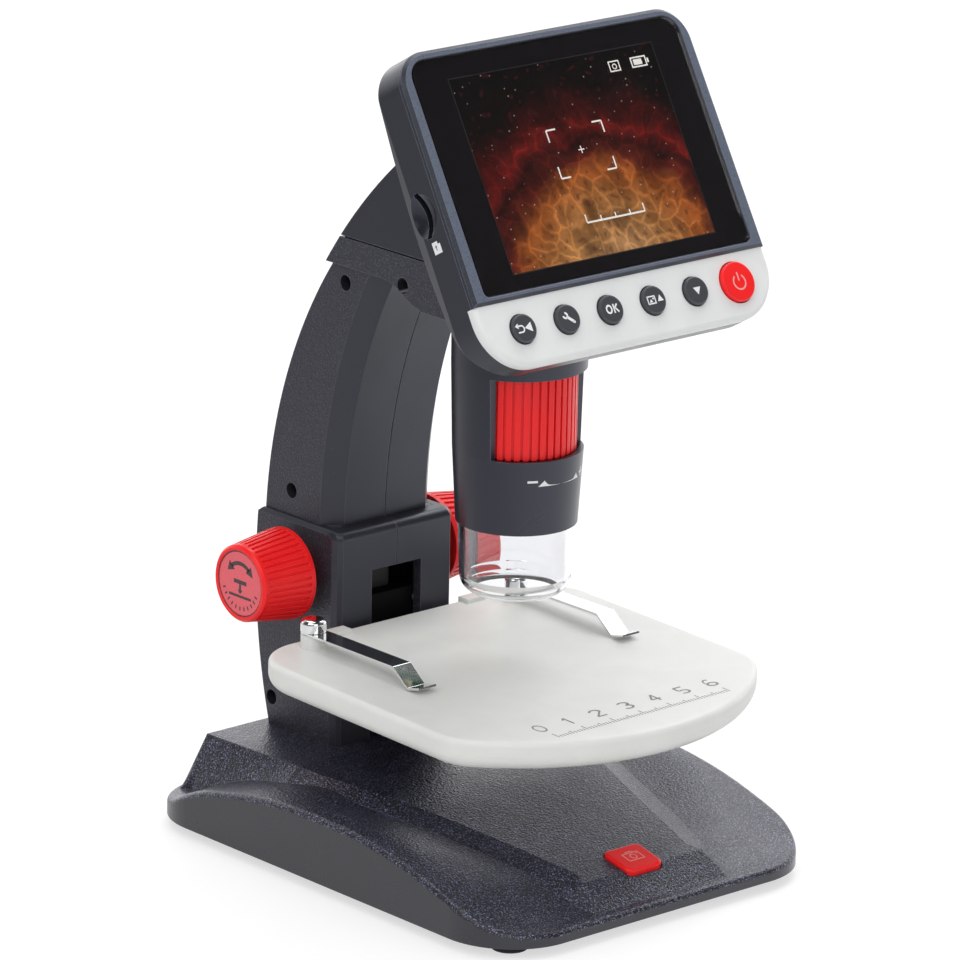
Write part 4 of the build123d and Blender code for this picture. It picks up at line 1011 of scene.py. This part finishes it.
@dataclass
class StageRule:
    """Rule printed near the front of the stage, with a numeral at each centimetre.

    A numeral's strokes are bars between points, and arcs given by their middle's height, radius,
    start and sweep. Lengths are shares of half the numeral's width or height.
    """

    centimetres: int = 6
    front: float = -93.8
    numerals: float = -86.0
    half: Point = (1.5, 2.2)
    stroke: float = 0.55
    bars: dict[int, tuple[tuple[Point, Point], ...]] = field(default_factory=lambda: {
        1: (((0, -1), (0, 1)), ((0, 1), (-0.7, 0.5))),
        2: (((0.9, 0.3), (-1, -1)), ((-1, -1), (1, -1))),
        4: (((0.4, -1), (0.4, 1)), ((0.4, 1), (-1, -0.4)), ((-1, -0.4), (1, -0.4))),
        5: (((1, 1), (-0.8, 1)), ((-0.8, 1), (-0.8, 0))),
    })
    arcs: dict[int, tuple[tuple[float, float, float, float], ...]] = field(default_factory=lambda: {
        0: ((0, 1, 0, 360),),
        2: ((0.5, 0.5, -30, 200),),
        3: ((0.5, 0.5, -90, 240), (-0.5, 0.5, 90, -240)),
        5: ((-0.5, 0.5, 130, -270),),
        6: ((-0.5, 0.5, 0, 360), (0, 1, 60, 130)),
    })

    def build(self) -> None:
        """Builds the ticks and the numerals."""
        drawing = Drawing()
        half = self.centimetres * 5
        for step in range(self.centimetres * 10 + 1):
            tall = 3.0 if step % 10 == 0 else 2.1 if step % 5 == 0 else 1.3
            drawing.bars(0.26, ((step - half, self.front), (step - half, self.front + tall)))
        for digit in range(self.centimetres + 1):
            self._numeral(drawing, digit, digit * 10 - half)
        drawing.onto(STAGE_FACE.moved(proud=INK_LIFT), "stage_rule", GREY_INK, Body.STAGE, "stage_white")

    def _numeral(self, drawing: Drawing, digit: int, x: float) -> None:
        """Draws the strokes of one digit with its middle at x."""
        (wide, tall), y = self.half, self.numerals
        for run in self.bars.get(digit, ()):
            start, end = ((x + right * wide, y + up * tall) for right, up in run)
            drawing.bars(self.stroke, (start, end))
        for up, share, start, sweep in self.arcs.get(digit, ()):
            radius = share * tall
            drawing.arc((x, y + up * tall), radius, self.stroke, start, sweep, (wide / radius, 1.0))


@dataclass
class KnobSigns:
    """Label discs of the focus knobs: a two-way turning arrow over a stage and its lower limit."""

    disc: float = 8.75
    ring: float = 5.6
    sign_lift: float = 0.04

    def build(self) -> None:
        """Builds one label and one sign for each knob."""
        for side, name in ((-1, "left"), (1, "right")):
            face = Place((side * KNOB_DISC, SHAFT_Y, SHAFT_Z), (0, side, 0), (0, 0, 1))
            label = Drawing()
            label.disc((0, 0), self.disc, corners=64)
            label.onto(face.moved(proud=INK_LIFT), f"knob_label_{name}", LABEL_INK, Body.FOCUS,
                       "red_plastic")
            sign = self._sign()
            sign.onto(face.moved(proud=self.sign_lift), f"knob_sign_{name}", DARK_INK, Body.FOCUS,
                      "red_plastic")

    def _sign(self) -> Drawing:
        """Returns the sign, with a line round its rim and ticks round its lower side."""
        drawing = Drawing()
        drawing.arc((0, 0), self.disc + 0.15, 0.35)
        drawing.arc((0, 0), self.ring, 1.1, 50, 80)
        drawing.triangle(self._on_ring(45, self.ring), 2.6, 3.0, -45)
        drawing.triangle(self._on_ring(135, self.ring), 2.6, 3.0, 225)
        drawing.bars(1.1, ((-2.6, 0.4), (2.6, 0.4)))
        drawing.bars(0.7, ((-4.6, -3.6), (4.6, -3.6)))
        drawing.bars(0.8, ((0, -0.2), (0, -1.8)))
        drawing.triangle((0, -2.2), 1.2, 2.0, -90)
        for turn in range(200, 341, 14):
            drawing.bars(0.45, (self._on_ring(turn, 6.4), self._on_ring(turn, 7.5)))
        return drawing

    @staticmethod
    def _on_ring(turn: float, radius: float) -> Point:
        """Returns the point of a ring at an angle, in degrees."""
        return (radius * cos(radians(turn)), radius * sin(radians(turn)))


@dataclass
class CrossHeads:
    """Screw heads with a cross recess, built as one piece. By default they're black and face left."""

    name: str
    spots: list[Spot]
    radius: float = 2.05
    height: float = 2.0
    right: Spot = (0, -1, 0)
    up: Spot = (0, 0, 1)
    replaces: tuple[str, ...] = ()
    finish: Finish = BLACK_STEEL
    body: Body = Body.STAND
    slot: str = "black_steel"

    def build(self) -> None:
        """Builds the heads: domed discs whose middle is sunk as a cross."""
        bm = bmesh.new()
        for spot in self.spots:
            made = self._head(bm)
            bmesh.ops.transform(bm, matrix=Place(spot, self.right, self.up).matrix(), verts=made)
        bmesh.ops.scale(bm, vec=(MM, MM, MM), verts=bm.verts[:])
        add_piece(self.name, bm, self.finish, self.body, self.replaces)

    def _top(self, bm: BMesh, half: float, arm: float) -> None:
        """Builds the flat top, cut by lines along both edges of the cross's arms and at their ends."""
        grid = bmesh.ops.create_grid(bm, x_segments=5, y_segments=5, size=1.0)["verts"]
        reach = self.radius * 0.74
        lines = (-reach, -arm, -half, half, arm, reach)
        rows = sorted({round(v.co.x, 4) for v in grid})
        for vert in grid:
            column, row = rows.index(round(vert.co.x, 4)), rows.index(round(vert.co.y, 4))
            vert.co = (lines[column], lines[row], 0.0)

    def _head(self, bm: BMesh) -> Verts:
        """Builds one head round the origin, with its top at z 0, and returns its vertices."""
        before = set(bm.verts)
        half, arm = self.radius * 0.13, self.radius * 0.6
        self._top(bm, half, arm)
        cross = []
        for face in (f for f in bm.faces if not set(f.verts) & before):
            across, along = sorted(abs(length) for length in face.calc_center_median().xy)
            if across < half and along < arm:
                cross.append(face)
        rim = [e for e in bm.edges if e.is_boundary and not set(e.verts) & before]
        skirt = bmesh.ops.extrude_edge_only(bm, edges=rim)["geom"]
        outer = only(BMVert, skirt)
        for vert in outer:
            flat = Vector((vert.co.x, vert.co.y, 0)).normalized() * self.radius
            vert.co = (flat.x, flat.y, -self.height * 0.25)
        round_edges = [e for e in only(BMEdge, skirt) if all(v in outer for v in e.verts)]
        wall = bmesh.ops.extrude_edge_only(bm, edges=round_edges)["geom"]
        bmesh.ops.translate(bm, vec=(0, 0, -self.height * 0.75), verts=only(BMVert, wall))
        bmesh.ops.contextual_create(bm, geom=[e for e in only(BMEdge, wall) if e.is_boundary])
        sunk = bmesh.ops.extrude_face_region(bm, geom=cross)["geom"]
        bmesh.ops.translate(bm, vec=(0, 0, -self.height * 0.55), verts=only(BMVert, sunk))
        bmesh.ops.delete(bm, geom=cross, context="FACES_ONLY")
        return [v for v in bm.verts if v not in before]


SCREW_SETS = [
    CrossHeads("arm_screw_heads", [(-16, 35.8, 151.6), (-16, 56.8, 89.4)], replaces=("arm_screws",)),
    CrossHeads("collar_screw_heads", [(-17.7, 11.0, 156.4)], replaces=("collar_screws",)),
    CrossHeads("pillar_screw_heads", [(-18.2, 62.2, 30.0)], 2.0, replaces=("pillar_screws",)),
    CrossHeads("base_screw_heads", [(x, y, 3.0) for x in (-36, 36) for y in (-46, 66)], 1.5, 1.6,
               (1, 0, 0), (0, -1, 0), ("base_screws",)),
    CrossHeads("carrier_front_screw", [(9.9, 38.2, 58.6)], 1.3, 0.5, (1, 0, 0), finish=STEEL,
               body=Body.STAGE, slot="steel"),
]


# ---- studio


@dataclass
class Studio:
    """Camera, floor, white background and soft lamps."""

    azimuth: float = -41.85
    elevation: float = 16.79
    roll: float = 1.15
    distance: float = 1769.6
    target: Spot = (-11.74, -10.735, 107.15)
    lens: float = 254.34
    sensor_width: float = 36.0
    clip: Point = (0.1, 20.0)
    floor_half: float = 6000.0
    floor_grey: float = 0.42
    floor_glow: Point = (0.3, 0.62)
    room_light: float = 0.5
    lamps: list[tuple[str, float, float, float, float, float]] = field(default_factory=lambda: [
        # name, azimuth, elevation, distance, size, power
        ("key", -72, 42, 1700, 1300, 8.5),
        ("side", 105, 50, 1700, 1100, 9.0),
        ("top", 150, 74, 1500, 1200, 9.5),
        ("front", -20, 25, 1900, 1200, 6.0),
    ])

    @staticmethod
    def towards(azimuth: float, elevation: float) -> Vector:
        """Returns the direction from the object to a place round it, in degrees."""
        a, e = radians(azimuth), radians(elevation)
        return Vector((sin(a) * cos(e), -cos(a) * cos(e), sin(e)))

    def make_camera(self) -> None:
        """Makes the scene's camera."""
        back = self.towards(self.azimuth, self.elevation)
        right = (-back).cross(Vector((0, 0, 1))).normalized()
        up = right.cross(-back)
        turn = radians(self.roll)
        rolled_right = right * cos(turn) + up * sin(turn)
        rolled_up = up * cos(turn) - right * sin(turn)
        camera = link_object("camera", bpy.data.cameras.new("camera"))
        turned = Matrix((rolled_right, rolled_up, back)).transposed().to_4x4()
        camera.matrix_world = Matrix.Translation((Vector(self.target) + back * self.distance) * MM) @ turned
        camera.data.lens = self.lens
        camera.data.sensor_width = self.sensor_width
        camera.data.clip_start, camera.data.clip_end = self.clip
        bpy.context.scene.camera = camera

    def make_lamps(self) -> None:
        """Makes the soft lamps, all aimed at the middle of the object."""
        for name, azimuth, elevation, distance, size, power in self.lamps:
            light = bpy.data.lights.new(name, "AREA")
            light.energy, light.size = power, size * MM
            lamp = link_object(name, light)
            away = self.towards(azimuth, elevation)
            lamp.location = (Vector(self.target) + away * distance) * MM
            lamp.rotation_euler = away.to_track_quat("Z", "Y").to_euler()

    def across_set(self, tree: Tree, place: Socket, turn: float) -> Socket:
        """Returns how far a direction or point lies to one side, in degrees from the camera's."""
        return tree.vector("DOT_PRODUCT", place, tuple(self.towards(self.azimuth + turn, 0)))

    @staticmethod
    def what_sees(tree: Tree) -> tuple[Socket, Socket]:
        """Tells what kind of ray meets the background.

        Args:
            tree: the tree of the background's world or material.

        Returns:
            Masks for a view of it, also straight through clear pieces, and for a reflection of it.
        """
        path = tree.node("LightPath").outputs
        bounced = tree.math("ADD", path["Glossy Depth"], path["Diffuse Depth"])
        straight = tree.math("SUBTRACT", 1.0, tree.math("MINIMUM", bounced, 1.0))
        through = tree.times(path["Is Transmission Ray"], straight)
        mirrored = tree.times(path["Is Transmission Ray"], tree.math("MINIMUM", path["Glossy Depth"], 1.0))
        return (tree.math("MAXIMUM", path["Is Camera Ray"], through),
                tree.math("MAXIMUM", path["Is Glossy Ray"], mirrored))

    def make_world(self) -> None:
        """Makes the white background and the even light of the room."""
        world = bpy.data.worlds.new("studio")
        bpy.context.scene.world = world
        world.use_nodes = True
        world.node_tree.nodes.clear()
        tree = Tree(world.node_tree)
        direction = tree.place("Generated")
        depth = self.across_set(tree, direction, 180)
        height = tree.axis(direction, "Z")
        band = tree.times(tree.span(height, 0.32, 0.08), tree.span(depth, 0.5, 0.9, 0.0, 1.15))
        lit = tree.math("ADD", tree.span(depth, 0.05, 0.5, 0.1, 1.2, smooth=True), band)
        mirrored = tree.times(lit, tree.span(height, 0.34, 0.56, 1.0, 0.5))
        seen, glossy = self.what_sees(tree)
        strength = tree.blend(seen, tree.blend(glossy, self.room_light, mirrored), 1.0)
        sky = tree.node("Background", {"Color": (1.0, 1.0, 1.0), "Strength": strength})
        tree.node("OutputWorld", {"Surface": sky.outputs[0]})

    def make_floor(self) -> None:
        """Makes the pale floor, which shows white and keeps the object's shadow."""
        material, tree, shader, output = new_material("studio_floor")
        grey = (self.floor_grey, self.floor_grey, self.floor_grey)
        tree.fill(shader, {"Base Color": grey, "Roughness": 0.9, "Specular IOR Level": 0.0})
        across = self.across_set(tree, tree.node("NewGeometry").outputs["Position"], 90)
        mirrored = tree.span(across, -0.6, 0.6, 0.1, 1.05, smooth=True)
        seen, glossy = self.what_sees(tree)
        lit, shown = self.floor_glow
        strength = tree.blend(seen, tree.blend(glossy, lit, mirrored), shown)
        glow = tree.node("Emission", {"Color": (1.0, 1.0, 1.0), "Strength": strength})
        both = tree.node("AddShader", {0: shader.outputs[0], 1: glow.outputs[0]})
        tree.fill(output, {"Surface": both.outputs[0]})
        bm = bmesh.new()
        bmesh.ops.create_grid(bm, x_segments=1, y_segments=1, size=self.floor_half * MM)
        floor = mesh_object("floor", bm, material)

    def build(self) -> None:
        """Makes the floor, the world and the lamps, and sets how colours are shown."""
        self.make_floor()
        self.make_world()
        self.make_lamps()
        bpy.context.scene.view_settings.view_transform = "Standard"


def main() -> None:
    """Builds the camera, the object's finishes and added pieces, and the studio."""
    studio = Studio()
    studio.make_camera()
    dress_nodes()
    signs = (ScreenPicture(), KeySigns(), BarrelMarks(), BaseSigns(), StageRule(), KnobSigns())
    for part in (*signs, *SCREW_SETS):
        part.build()
        LOG.info("finished %s", type(part).__name__)
    studio.build()


if __name__ == "__main__":
    logging.basicConfig(level=logging.INFO, format="%(name)s: %(message)s")
    main()
